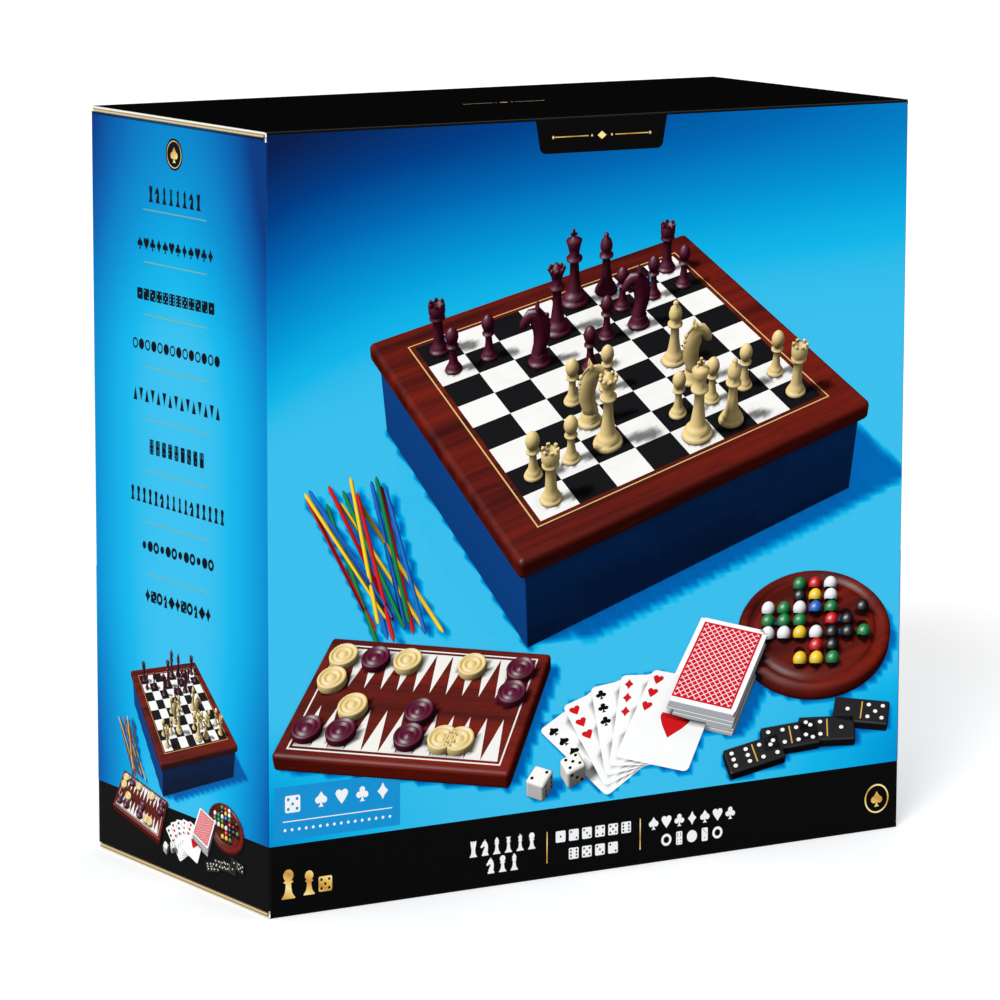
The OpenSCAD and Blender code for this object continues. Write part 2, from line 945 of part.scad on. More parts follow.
front_panel();
left_panel();
back_panel();
right_panel();
glue_tab();
top_outer_flap();
top_inner_flap();
top_dust_flap_left();
top_dust_flap_right();
bottom_outer_flap();
bottom_inner_flap();
bottom_dust_flap_left();
bottom_dust_flap_right();
foam_cap_left();
foam_cap_right();
rules_booklet();
cabinet_top();
cabinet_side_left();
cabinet_side_right();
cabinet_back();
cabinet_base();
runners_upper();
runners_lower();
ludo_board();
backgammon_board();
drawer_front();
drawer_side_left();
drawer_side_right();
drawer_back();
drawer_bottom();
drawer_dividers();
marbles();
pick_up_sticks();
card_packs();
dominoes();
dice();
draughts_light();
draughts_dark();
chess_light();
chess_dark();
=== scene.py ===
import math
import random

import bpy
import numpy as np
from mathutils import Matrix, Vector, geometry
from mathutils.bvhtree import BVHTree


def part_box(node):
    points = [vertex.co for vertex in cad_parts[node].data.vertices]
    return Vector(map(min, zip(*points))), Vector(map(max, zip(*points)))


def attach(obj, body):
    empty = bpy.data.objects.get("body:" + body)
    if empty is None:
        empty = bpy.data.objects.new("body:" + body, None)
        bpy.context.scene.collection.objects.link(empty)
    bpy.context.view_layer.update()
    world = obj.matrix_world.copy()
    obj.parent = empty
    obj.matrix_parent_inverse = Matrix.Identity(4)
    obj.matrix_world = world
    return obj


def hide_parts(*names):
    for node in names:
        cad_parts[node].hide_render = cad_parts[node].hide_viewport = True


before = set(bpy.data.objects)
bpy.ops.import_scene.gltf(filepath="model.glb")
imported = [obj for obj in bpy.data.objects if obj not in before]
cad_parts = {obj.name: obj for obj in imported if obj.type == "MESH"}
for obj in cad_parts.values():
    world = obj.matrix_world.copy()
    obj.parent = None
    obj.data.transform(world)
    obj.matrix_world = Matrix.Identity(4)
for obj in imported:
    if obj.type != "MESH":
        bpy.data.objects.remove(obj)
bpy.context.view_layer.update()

MM = 0.001

# The closed carton, from the frame
FRONT_LOW, FRONT_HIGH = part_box("front_panel")
TOP_LOW, TOP_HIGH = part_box("top_outer_flap")
BACK_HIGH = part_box("back_panel")[1]
CARTON_W = FRONT_HIGH.x - FRONT_LOW.x
CARTON_D = BACK_HIGH.y - FRONT_LOW.y
CARTON_H = TOP_HIGH.z
BOARD_T = TOP_HIGH.z - TOP_LOW.z
CREASE_R = 1.2 * MM

# The board's white liner, drawn wider on the top flap's cut edge, and its flutes, in mm
LINER_T = 0.6
TOP_LINER_T = 1.0
FLUTE_PITCH = 6.4

PRINT_SHINE = 0.01

# Print layout on the faces, in millimetres from a face's upper left corner
BAND_TOP = 342.5
TAB_X = (148.0, 228.0)
TAB_H = 17.5
TAB_SLANT = 3.0
TAB_CORNER = 3.0


# ---------------------------------------------------------------- colours and nodes


def linear(value):
    """One channel of a screen colour, 0 to 255, as linear light"""
    c = value / 255
    return c / 12.92 if c <= 0.04045 else ((c + 0.055) / 1.055) ** 2.4


def ink(r, g, b):
    """A screen colour, 0 to 255, as linear light"""
    return (linear(r), linear(g), linear(b))


BLACK_INK = ink(9, 9, 10)
WHITE_INK = ink(246, 246, 246)
WHITE_LINER = ink(253, 252, 246)
# Painted shade in the hollows between the flute's waves, at cut edges
FLUTE_HOLLOW_SHADE = ink(172, 150, 108)
MAHOGANY_DARK = ink(58, 12, 10)
MAHOGANY_LIGHT = ink(118, 30, 20)
NAVY = ink(10, 44, 92)
CREAM = ink(232, 200, 128)
BURGUNDY = ink(92, 18, 48)
IVORY = ink(246, 244, 238)

# The blue print, from its darkest tone to its lightest
BLUE_TONES = [
    (0.16, ink(9, 31, 80)),
    (0.32, ink(0, 62, 137)),
    (0.54, ink(0, 105, 182)),
    (0.75, ink(2, 144, 211)),
    (0.84, ink(4, 162, 223)),
    (0.94, ink(18, 183, 235)),
    (1.0, ink(60, 193, 240)),
]


class Field:
    """A number over a surface. Arithmetic on it adds the Math nodes."""

    def __init__(self, tree, socket):
        self.tree = tree
        self.socket = socket

    def math(self, operation, *others, first=None):
        node = self.tree.nodes.new("ShaderNodeMath")
        node.operation = operation
        terms = [self, *others] if first is None else [first, self]
        for socket, term in zip(node.inputs, terms):
            if isinstance(term, Field):
                self.tree.links.new(term.socket, socket)
            else:
                socket.default_value = term
        return Field(self.tree, node.outputs[0])

    def __add__(self, other):
        return self.math("ADD", other)

    __radd__ = __add__

    def __sub__(self, other):
        return self.math("SUBTRACT", other)

    def __rsub__(self, other):
        return self.math("SUBTRACT", first=other)

    def __mul__(self, other):
        return self.math("MULTIPLY", other)

    __rmul__ = __mul__

    def __truediv__(self, other):
        return self.math("DIVIDE", other)

    def __abs__(self):
        return self.math("ABSOLUTE")

    def power(self, other):
        return self.math("POWER", other)

    def sine(self):
        return self.math("SINE")

    def fraction(self):
        return self.math("FRACT")

    def whole(self):
        return self.math("FLOOR")

    def below(self, other):
        return self.math("LESS_THAN", other)

    def above(self, other):
        return self.math("GREATER_THAN", other)

    def least(self, other):
        return self.math("MINIMUM", other)

    def most(self, other):
        return self.math("MAXIMUM", other)

    def between(self, low, high):
        return self.above(low) * self.below(high)

    def smooth(self, low, high):
        """0 below low, 1 above high, with a soft step between"""
        node = self.tree.nodes.new("ShaderNodeMapRange")
        node.interpolation_type = "SMOOTHSTEP"
        self.tree.links.new(self.socket, node.inputs["Value"])
        node.inputs["From Min"].default_value = low
        node.inputs["From Max"].default_value = high
        return Field(self.tree, node.outputs["Result"])


class Sheet:
    """The nodes of one material or node group"""

    def __init__(self, tree):
        self.tree = tree

    def new(self, kind, **settings):
        node = self.tree.nodes.new(kind)
        for name, value in settings.items():
            setattr(node, name, value)
        return node

    def put(self, socket, value):
        """Links a socket or field to a socket, or sets its number or colour"""
        if isinstance(value, Field):
            value = value.socket
        if isinstance(value, bpy.types.NodeSocket):
            self.tree.links.new(value, socket)
        elif isinstance(value, tuple) and socket.type == "RGBA":
            socket.default_value = (*value, 1.0)[:4]
        else:
            socket.default_value = value

    def point(self):
        return self.new("ShaderNodeTexCoord").outputs["Object"]

    def attribute(self, name):
        return self.new("ShaderNodeAttribute", attribute_name=name)

    def axes(self, vector, scale=1.0):
        node = self.new("ShaderNodeSeparateXYZ")
        self.put(node.inputs[0], vector)
        fields = [Field(self.tree, s) for s in node.outputs]
        return fields if scale == 1.0 else [f * scale for f in fields]

    def vector(self, x, y, z):
        node = self.new("ShaderNodeCombineXYZ")
        for socket, value in zip(node.inputs, (x, y, z)):
            self.put(socket, value)
        return node.outputs[0]

    def stretch(self, vector, scale, turn=(0.0, 0.0, 0.0)):
        node = self.new("ShaderNodeMapping")
        self.put(node.inputs["Vector"], vector)
        node.inputs["Scale"].default_value = scale
        node.inputs["Rotation"].default_value = turn
        return node.outputs[0]

    def noise(self, vector, scale, detail=3.0, roughness=0.55):
        node = self.new("ShaderNodeTexNoise")
        self.put(node.inputs["Vector"], vector)
        node.inputs["Scale"].default_value = scale
        node.inputs["Detail"].default_value = detail
        node.inputs["Roughness"].default_value = roughness
        return Field(self.tree, node.outputs["Fac"])

    def cells(self, vector, scale, feature="F1"):
        node = self.new("ShaderNodeTexVoronoi", feature=feature)
        self.put(node.inputs["Vector"], vector)
        node.inputs["Scale"].default_value = scale
        return Field(self.tree, node.outputs["Distance"])

    def chance(self, x, y, z=0.0):
        """A number from 0 to 1, the same for the same whole x, y and z"""
        node = self.new("ShaderNodeTexWhiteNoise", noise_dimensions="3D")
        self.put(node.inputs["Vector"], self.vector(x, y, z))
        return Field(self.tree, node.outputs["Value"])

    def mix(self, share, first, second, blend="MIX"):
        node = self.new("ShaderNodeMix", data_type="RGBA", blend_type=blend)
        self.put(node.inputs[0], share)
        self.put(node.inputs[6], first)
        self.put(node.inputs[7], second)
        return node.outputs[2]

    def ramp(self, value, stops, interpolation="LINEAR"):
        node = self.new("ShaderNodeValToRGB")
        node.color_ramp.interpolation = interpolation
        elements = node.color_ramp.elements
        while len(elements) < len(stops):
            elements.new(1.0)
        for element, (place, colour) in zip(elements, stops):
            element.position = place
            element.color = (*colour, 1.0)
        self.put(node.inputs[0], value)
        return node.outputs[0]

    def bump(self, height, strength, distance):
        node = self.new("ShaderNodeBump")
        node.inputs["Strength"].default_value = strength
        node.inputs["Distance"].default_value = distance
        self.put(node.inputs["Height"], height)
        return node.outputs[0]

    def use(self, group, **values):
        """Places a node group and returns its node"""
        node = self.new("ShaderNodeGroup", node_tree=group)
        for name, value in values.items():
            self.put(node.inputs[name.replace("_", " ")], value)
        return node


def node_group(name, inputs, outputs):
    """A new shader node group, its sheet, its input fields by name and its output node"""
    tree = bpy.data.node_groups.new(name, "ShaderNodeTree")
    kinds = {"v": "NodeSocketVector", "f": "NodeSocketFloat", "c": "NodeSocketColor"}
    for label, kind in inputs.items():
        tree.interface.new_socket(label, in_out="INPUT", socket_type=kinds[kind])
    for label, kind in outputs.items():
        tree.interface.new_socket(label, in_out="OUTPUT", socket_type=kinds[kind])
    sheet = Sheet(tree)
    start = sheet.new("NodeGroupInput")
    values = {
        label: Field(tree, start.outputs[label]) if kind == "f" else start.outputs[label]
        for label, kind in inputs.items()
    }
    return tree, sheet, values, sheet.new("NodeGroupOutput")


def material(name, fill, rough=0.5, specular=0.5, metallic=0.0, coat=0.0):
    """A material whose fill(sheet) gives its colour, and roughness and normal or None"""
    made = bpy.data.materials.new(name)
    made.use_nodes = True
    shader = made.node_tree.nodes["Principled BSDF"]
    sheet = Sheet(made.node_tree)
    colour, roughness, normal = fill(sheet)
    shader.inputs["Specular IOR Level"].default_value = specular
    shader.inputs["Metallic"].default_value = metallic
    shader.inputs["Coat Weight"].default_value = coat
    shader.inputs["Roughness"].default_value = rough
    sheet.put(shader.inputs["Base Color"], colour)
    if roughness is not None:
        sheet.put(shader.inputs["Roughness"], roughness)
    if normal is not None:
        sheet.put(shader.inputs["Normal"], normal)
    return made


# ---------------------------------------------------------------- shared effects


def make_blue_print():
    """Blue print: a darkness from 0 to 1 picks a tone from light sky to deep navy"""
    tree, sheet, given, out = node_group("blue_print", {"Darkness": "f"}, {"Color": "c"})
    sheet.put(out.inputs["Color"], sheet.ramp(1.0 - given["Darkness"], BLUE_TONES))
    return tree


def make_skin_depth():
    """Depth below the outer skin of the closed carton, in millimetres. Plus and Minus
    say on which sides of each axis the board goes on round a rounded crease, and Half
    is the distance from the middle to where each rounding starts."""
    inputs = {"Point": "v", "Plus": "v", "Minus": "v", "Half": "v"}
    tree, sheet, given, out = node_group("skin_depth", inputs, {"Depth": "f", "Crease": "f"})

    def vectors(operation, first, second):
        node = sheet.new("ShaderNodeVectorMath", operation=operation)
        sheet.put(node.inputs[0], first)
        if second is not None:
            sheet.put(node.inputs[1], second)
        return node.outputs["Value" if operation == "LENGTH" else "Vector"]

    middle = ((FRONT_LOW.x + FRONT_HIGH.x) / 2, (FRONT_LOW.y + BACK_HIGH.y) / 2, CARTON_H / 2)
    place = vectors("SUBTRACT", given["Point"], middle)
    reach = vectors(
        "MAXIMUM",
        vectors("MULTIPLY", place, given["Plus"]),
        vectors("MULTIPLY", place, given["Minus"]),
    )
    over = vectors("SUBTRACT", reach, given["Half"])
    past = Field(tree, vectors("LENGTH", vectors("MAXIMUM", over, (0.0, 0.0, 0.0)), None))
    x, y, z = sheet.axes(over)
    nearest = x.most(y).most(z)
    inside = nearest.least(0.0)
    depth = (CREASE_R - past - inside) / MM
    sheet.put(out.inputs["Depth"], depth)
    second = (x + y + z - nearest - x.least(y).least(z)) / CREASE_R
    sheet.put(out.inputs["Crease"], second.smooth(0.05, 0.35))
    return tree


def make_board_layers():
    """Corrugated board by its depth: print, white liner, waved flute with painted shade in the
    hollows between its waves, kraft liner
    """
    inputs = {"Print": "c", "Depth": "f", "Along": "f", "Point": "v", "Liner": "f"}
    outputs = {"Color": "c", "Cut": "f", "Height": "f"}
    tree, sheet, given, out = node_group("board_layers", inputs, outputs)
    depth = given["Depth"]
    fibres = sheet.noise(given["Point"], 2200.0, 2.0)
    streaks = sheet.noise(sheet.stretch(given["Point"], (700.0, 260.0, 260.0)), 1.0, 4.0, 0.7)
    cloud = sheet.noise(given["Point"], 20.0, 3.0)
    flecks = sheet.noise(given["Point"], 620.0, 2.0).smooth(0.66, 0.74)
    flutes = (given["Along"] * (2 * math.pi / FLUTE_PITCH)).sine()
    middle = BOARD_T / MM / 2
    wave = flutes * (middle - 0.65) + middle
    paper = abs(depth - wave).smooth(0.1, 0.3)
    # Painted shade: the hollows between the flute's waves darker than the flute paper
    hollow = sheet.mix(paper, ink(214, 194, 148), FLUTE_HOLLOW_SHADE)
    core = sheet.mix(fibres.smooth(0.45, 0.85), hollow, ink(134, 114, 78))
    tone = streaks * 0.5 + cloud * 0.4 + flutes * 0.05 + 0.05
    kraft = sheet.mix(tone, ink(180, 154, 110), ink(218, 194, 150))
    kraft = sheet.mix(flecks * 0.5, kraft, ink(132, 102, 68))
    thick = BOARD_T / MM
    kraft_edge = sheet.mix(fibres, ink(216, 194, 146), ink(244, 222, 174))
    backing = sheet.mix(depth.above(thick - 0.04), kraft_edge, kraft)
    inner = sheet.mix(depth.smooth(thick - LINER_T - 0.1, thick - LINER_T), core, backing)
    liner = sheet.mix(fibres, ink(240, 237, 226), WHITE_LINER)
    layers = sheet.mix((depth - given["Liner"]).smooth(0.0, 0.12), liner, inner)
    cut = depth.smooth(0.05, 0.1)
    sheet.put(out.inputs["Color"], sheet.mix(cut, given["Print"], layers))
    sheet.put(out.inputs["Cut"], cut)
    sheet.put(out.inputs["Height"], cut * (streaks * 0.5 + flutes * 0.4))
    return tree


def make_handled_print():
    """Light wear of printed board: creases lightened towards grey, partly rubbed ink and partly a
    painted highlight along the fold, faint mottling, fine surface
    """
    inputs = {"Color": "c", "Point": "v", "Crease": "f", "Rub": "f"}
    outputs = {"Color": "c", "Roughness": "f", "Height": "f"}
    tree, sheet, given, out = node_group("handled_print", inputs, outputs)
    point = given["Point"]
    cloud = sheet.noise(point, 14.0, 4.0)
    grain = sheet.noise(point, 900.0, 2.0)
    broken = sheet.noise(point, 160.0, 5.0, 0.7)
    # Painted highlight with wear: the crease mask lightens the print towards grey, as rubbed ink
    # and as light caught along the fold
    rub_highlight = given["Crease"] * (broken * 0.5 + 0.75) * given["Rub"]
    mottled = sheet.mix((grain - 0.5) * 0.05 + 0.03, given["Color"], WHITE_INK, "SOFT_LIGHT")
    sheet.put(out.inputs["Color"], sheet.mix(rub_highlight, mottled, ink(150, 146, 136)))
    sheet.put(out.inputs["Roughness"], cloud * 0.10 + grain * 0.06 + 0.36)
    sheet.put(out.inputs["Height"], grain * 0.35 + cloud * 0.65 + rub_highlight * 0.5)
    return tree


def make_wood_grain():
    """Straight close grain with pores that run along X of the given point, in metres"""
    inputs = {"Point": "v", "Dark": "c", "Light": "c"}
    outputs = {"Color": "c", "Roughness": "f", "Height": "f"}
    tree, sheet, given, out = node_group("wood_grain", inputs, outputs)
    point = given["Point"]
    figure = sheet.noise(sheet.stretch(point, (4.0, 60.0, 60.0)), 1.0, 5.0, 0.6)
    pores = sheet.noise(sheet.stretch(point, (40.0, 1600.0, 1600.0)), 1.0, 3.0, 0.7)
    bands = sheet.noise(sheet.stretch(point, (1.5, 14.0, 14.0)), 1.0, 2.0)
    share = (figure * 0.62 + bands * 0.38).smooth(0.3, 0.7)
    wood = sheet.mix(share, given["Dark"], given["Light"])
    pored = sheet.mix(pores.smooth(0.56, 0.7) * 0.75, wood, ink(26, 6, 6))
    sheet.put(out.inputs["Color"], pored)
    sheet.put(out.inputs["Roughness"], pores * 0.16 + 0.26)
    sheet.put(out.inputs["Height"], figure * 0.4 - pores.smooth(0.56, 0.7) * 0.6)
    return tree


def make_moulding():
    """Moulded plastic: faint flow marks in colour, gloss and surface"""
    inputs = {"Point": "v", "Color": "c"}
    outputs = {"Color": "c", "Roughness": "f", "Height": "f"}
    tree, sheet, given, out = node_group("moulding", inputs, outputs)
    flow = sheet.noise(given["Point"], 60.0, 3.0)
    specks = sheet.noise(given["Point"], 900.0, 2.0)
    swirled = sheet.mix((flow - 0.4) * 0.5, given["Color"], (0.02, 0.015, 0.01))
    sheet.put(out.inputs["Color"], swirled)
    sheet.put(out.inputs["Roughness"], flow * 0.12 + specks * 0.05 + 0.14)
    sheet.put(out.inputs["Height"], flow * 0.6 + specks * 0.2)
    return tree


def surfaced(sheet, node, strength, distance):
    """Colour, roughness and bumped normal from a node of one of the groups above"""
    normal = sheet.bump(node.outputs["Height"], strength, distance)
    return node.outputs["Color"], node.outputs["Roughness"], normal


def flat_print(sheet, colour):
    """Handled print away from any crease"""
    worn = sheet.use(HANDLED_PRINT, Color=colour, Point=sheet.point(), Crease=0.0, Rub=0.0)
    return surfaced(sheet, worn, 0.12, 0.0004)


BLUE_PRINT = make_blue_print()
SKIN_DEPTH = make_skin_depth()
BOARD_LAYERS = make_board_layers()
HANDLED_PRINT = make_handled_print()
WOOD_GRAIN = make_wood_grain()
MOULDING = make_moulding()


# ---------------------------------------------------------------- print on the carton


def front_darkness(x, v):
    """Darkness of the front's blue: deep in the upper left corner, light elsewhere, and a dark line
    on the right fold that is partly the side's deep print and partly painted shade of the rounded
    crease.
    x runs from -1 at the left to 1 at the right, v down in millimetres."""
    across = x * 0.5 + 0.5
    away = 0.5 - x * 0.5
    fade = 1.0 - v.smooth(-8.0, 156.0)
    upper = (0.875 - across * 0.48) * fade.power(3.1 - away * away * away * 2.1)
    lower = v.smooth(275.0, 350.0) * (x * x * x * x) * 0.26
    # Last term: the dark line on the right fold, partly the side's deep print and partly painted
    # shade where the crease turns away
    return upper + lower + x.above(0.9952) * 0.45


def side_darkness(x, v):
    """Darkness of a side's blue: light down the middle, deeper at both folds"""
    fade = 1.0 - v.smooth(-30.0, 120.0)
    upper = (1.0 - v.smooth(30.0, 150.0)) * (0.24 - x * 0.09)
    foot = v.smooth(230.0, 345.0)
    far = abs(x)
    edge = far.power(2.8) * (foot * 0.3 + 0.27) + far.power(1.5) * upper
    return (fade * 0.36 + edge).least(0.72)


def back_darkness(x, v):
    """Darkness of the back's blue: light in the middle"""
    fade = 1.0 - v.smooth(-20.0, 140.0)
    return fade * 0.4 + x * x * 0.3


def printed_faces(sheet, darkness, across, half_width, tab=False):
    """Colour of a printed face: blue over a black band, a black upper fold (black print on the
    front, painted shade on the other faces), the white liner bare at the slots of its front
    corners, and a black tab if asked"""
    x, y, z = sheet.axes(sheet.point(), 1 / MM)
    u = x if across == "x" else y
    v = CARTON_H / MM - z
    blue = sheet.use(BLUE_PRINT, Darkness=darkness(u / half_width, v)).outputs[0]
    slot = (CARTON_W / MM / 2 - abs(x)).below(0.5) * (y + CARTON_D / MM / 2).below(0.8)
    bare = slot * v.below(4.8).most(v.above(CARTON_H / MM - 3.8))
    black = v.above(BAND_TOP)
    if tab:
        black = black.most(v.below(1.4))
        half = (TAB_X[1] - TAB_X[0]) / 2
        centre = (TAB_X[0] + TAB_X[1]) / 2 - CARTON_W / MM / 2
        side = abs(u - centre) - (half - TAB_SLANT * 0.5) + v * (TAB_SLANT / TAB_H)
        foot = v - TAB_H
        side_in, foot_in = [(edge + TAB_CORNER).most(0.0).power(2.0) for edge in (side, foot)]
        rounded = (side_in + foot_in).power(0.5).below(TAB_CORNER)
        black = black.most(rounded * side.below(0.0) * foot.below(0.0))
    else:
        # Painted shade: the blue darkened almost to black along the upper fold, under the edge of
        # the flap above
        blue = sheet.mix(v.below(4.0) * 0.8, blue, BLACK_INK)
    return sheet.mix(bare, sheet.mix(black, blue, BLACK_INK), WHITE_LINER)


def board_material(
    name, colour, plus, minus, along, under=(0, 0, 0), rub_highlight_share=0.01, shine=PRINT_SHINE, liner=LINER_T
):
    """Printed board: print outside, its layers at cut edges and kraft inside. plus and
    minus name its folded sides, and under the axes on which it lies one board deep."""
    sizes = zip((CARTON_W, CARTON_D, CARTON_H), under)
    half = tuple(size / 2 - BOARD_T * deep - CREASE_R for size, deep in sizes)

    def fill(sheet):
        point = sheet.point()
        skin = sheet.use(SKIN_DEPTH, Point=point, Plus=plus, Minus=minus, Half=half)
        depth = Field(sheet.tree, skin.outputs["Depth"])
        crease = skin.outputs["Crease"]
        # How much the creases are lightened: rubbed wear and a painted highlight along the fold
        worn = sheet.use(HANDLED_PRINT, Color=colour(sheet), Point=point, Crease=crease, Rub=rub_highlight_share)
        run = sheet.axes(point, 1 / MM)[along]
        layers = sheet.use(
            BOARD_LAYERS,
            Print=worn.outputs["Color"],
            Depth=depth,
            Along=run,
            Point=point,
            Liner=liner,
        )
        cut = Field(sheet.tree, layers.outputs["Cut"])
        rough = Field(sheet.tree, worn.outputs["Roughness"]) + cut * 0.4
        paper = Field(sheet.tree, layers.outputs["Height"])
        height = paper + Field(sheet.tree, worn.outputs["Height"]) * 0.5
        return layers.outputs["Color"], rough, sheet.bump(height, 0.24, 0.0004)

    return material(name, fill, specular=shine)


def black_colour(sheet):
    return BLACK_INK


def lined_colour(sheet):
    """White liner, with the print of the panel beside it carried a little over the fold"""
    x, y, _ = sheet.axes(sheet.point(), 1 / MM)
    reach = (abs(x) - CARTON_W / MM / 2).most(abs(y) - CARTON_D / MM / 2)
    blue = sheet.use(BLUE_PRINT, Darkness=0.6).outputs[0]
    return sheet.mix(reach.above(-6.5), WHITE_LINER, blue)


def inner_board(name, plus, minus, along, under=(0, 0, 1)):
    return board_material(name, lined_colour, plus, minus, along, under)


def panel_print(darkness, across, half_width, tab=False):
    return lambda sheet: printed_faces(sheet, darkness, across, half_width / MM, tab)


DUST_TOP = inner_board("top_dust_board", (0.0, 0.0, 1.0), (0.0, 0.0, 0.0), 1)
DUST_BOTTOM = inner_board("bottom_dust_board", (0.0, 0.0, 0.0), (0.0, 0.0, -1.0), 1)
BOARDS = {
    "front_panel": board_material(
        "front_print", panel_print(front_darkness, "x", CARTON_W / 2, tab=True),
        (1.0, 0.0, 1.0), (-1.0, -1.0, -1.0), 0,
    ),
    "back_panel": board_material(
        "back_print", panel_print(back_darkness, "x", CARTON_W / 2),
        (1.0, 1.0, 1.0), (-1.0, 0.0, -1.0), 0, (0, 0, 1),
    ),
    "left_panel": board_material(
        "left_print", panel_print(side_darkness, "y", CARTON_D / 2),
        (0.0, 1.0, 1.0), (-1.0, -1.0, -1.0), 1, (0, 0, 1),
    ),
    "right_panel": board_material(
        "right_print", panel_print(side_darkness, "y", CARTON_D / 2),
        (1.0, 1.0, 1.0), (0.0, -1.0, -1.0), 1, (0, 0, 1),
    ),
    # The top flap's front crease gets the strongest painted highlight, along with its wear
    "top_outer_flap": board_material(
        "top_print", black_colour, (0.0, 0.0, 1.0), (0.0, -1.0, 0.0), 0,
        rub_highlight_share=0.1, shine=0.0, liner=TOP_LINER_T,
    ),
    "bottom_outer_flap": board_material(
        "bottom_print", black_colour, (0.0, 0.0, 0.0), (0.0, -1.0, -1.0), 0, shine=0.0
    ),
    "top_inner_flap": inner_board("top_inner_board", (0.0, 0.0, 1.0), (0.0, 0.0, 0.0), 0),
    "bottom_inner_flap": inner_board("bottom_inner_board", (0.0, 0.0, 0.0), (0.0, 0.0, -1.0), 0),
    "top_dust_flap_left": DUST_TOP,
    "top_dust_flap_right": DUST_TOP,
    "bottom_dust_flap_left": DUST_BOTTOM,
    "bottom_dust_flap_right": DUST_BOTTOM,
    "glue_tab": inner_board("glue_tab_board", (0.0, 1.0, 0.0), (0.0, 0.0, 0.0), 0, (0, 1, 0)),
}


# ---------------------------------------------------------------- packing and contents


def foam_material():
    """Expanded foam: packed beads with fine seams between them"""

    def fill(sheet):
        point = sheet.point()
        bead = sheet.cells(point, 230.0)
        seam = sheet.cells(point, 230.0, "DISTANCE_TO_EDGE")
        cloud = sheet.noise(point, 18.0, 3.0)
        joined = seam.smooth(0.0, 0.12)
        white = sheet.mix(cloud, ink(238, 239, 238), ink(249, 249, 247))
        shaded = sheet.mix(joined, ink(205, 208, 210), white)
        height = joined * 0.7 - bead * 0.5
        return shaded, cloud * 0.1 + 0.55, sheet.bump(height, 0.5, 0.0006)

    return material("foam_beads", fill, specular=0.3)


def wood_material(name, dark, light, turn=(0.0, 0.0, 0.0), over=None):
    """Lacquered wood; over(sheet, point, wood colour) may paint a pattern on it"""

    def fill(sheet):
        point = sheet.point()
        grain = sheet.use(
            WOOD_GRAIN, Point=sheet.stretch(point, (1.0, 1.0, 1.0), turn), Dark=dark, Light=light
        )
        colour = grain.outputs["Color"]
        if over:
            colour = over(sheet, point, colour)
        return colour, grain.outputs["Roughness"], sheet.bump(grain.outputs["Height"], 0.2, 0.0002)

    return material(name, fill, specular=0.35, coat=0.12)


def plastic_material(name, colour):
    """Moulded plastic whose colour(sheet, point) may change from place to place"""

    def fill(sheet):
        point = sheet.point()
        made = sheet.use(MOULDING, Point=point, Color=colour(sheet, point))
        return surfaced(sheet, made, 0.08, 0.0004)

    return material(name, fill)


# ---------------------------------------------------------------- patterns of the games

RED = ink(206, 26, 30)
YELLOW = ink(246, 206, 40)
BLUE = ink(30, 104, 196)
GREEN = ink(20, 128, 66)
PALETTE = [RED, YELLOW, BLUE, ink(245, 245, 248), GREEN, ink(24, 24, 28)]
GOLD_LINE = ink(220, 190, 120)


def chequered(sheet, x, y, face, wood, square):
    """Eight by eight squares and a fine border line on the face of a wooden board"""
    odd = ((x / square).whole() + (y / square).whole()) * 0.5
    squares = sheet.mix(odd.fraction().above(0.25), ink(244, 243, 240), ink(16, 15, 18))
    reach = abs(x).most(abs(y))
    line = reach.between(4 * square + 4.0, 4 * square + 5.2) * face
    return sheet.mix(reach.below(4 * square) * face, sheet.mix(line, wood, GOLD_LINE), squares)


def pointed(sheet, x, y, face, wood, half_w, half_l):
    """Two rows of twelve long white points on the face of a wooden board"""
    tooth = abs((x / (half_w / 6)).fraction() - 0.5) * 2.0
    climb = (half_l - abs(y)) / (half_l * 0.8)
    in_point = (tooth + climb).below(1.0) * abs(x).below(half_w) * abs(y).below(half_l)
    edge = abs(x).most(abs(y) + (half_w - half_l)).between(half_w + 2.0, half_w + 3.2)
    return sheet.mix(in_point.most(edge) * face, wood, ink(240, 238, 232))


def homeward(sheet, x, y, face, wood, cell):
    """Ludo on the face of a wooden board: four yards, a cross of cells and a home"""
    far_x, far_y = abs(x) / cell, abs(y) / cell
    edge_x, edge_y = [abs((f + 0.5).fraction() - 0.5) for f in (far_x, far_y)]
    right, up = x.above(0.0), y.above(0.0)
    yard = sheet.mix(up, sheet.mix(right, RED, BLUE), sheet.mix(right, GREEN, YELLOW))
    level = sheet.mix(right, RED, YELLOW)
    upright = sheet.mix(up, BLUE, GREEN)
    lane = sheet.mix(far_y.above(far_x), level, upright)
    narrow, wide = far_x.least(far_y), far_x.most(far_y)
    run = narrow.below(0.5) * wide.below(6.5)
    home = wide.below(1.5)
    line = (0.5 - edge_x).most(0.5 - edge_y).above(0.47) * (1.0 - home)
    path = sheet.mix(run.most(home), WHITE_INK, lane)
    path = sheet.mix(line, path, BLACK_INK)
    inner_x, inner_y = abs(far_x - 4.5), abs(far_y - 4.5)
    bay = inner_x.most(inner_y).below(2.0)
    spot_x, spot_y = inner_x - 1.0, inner_y - 1.0
    spot = (spot_x * spot_x + spot_y * spot_y).below(0.3)
    corner = sheet.mix(bay * (1.0 - spot), yard, WHITE_INK)
    game = sheet.mix(narrow.above(1.5), path, corner)
    framed = sheet.mix(wide.between(7.5, 7.6) * face, wood, GOLD_LINE)
    return sheet.mix(wide.below(7.5) * face, framed, game)


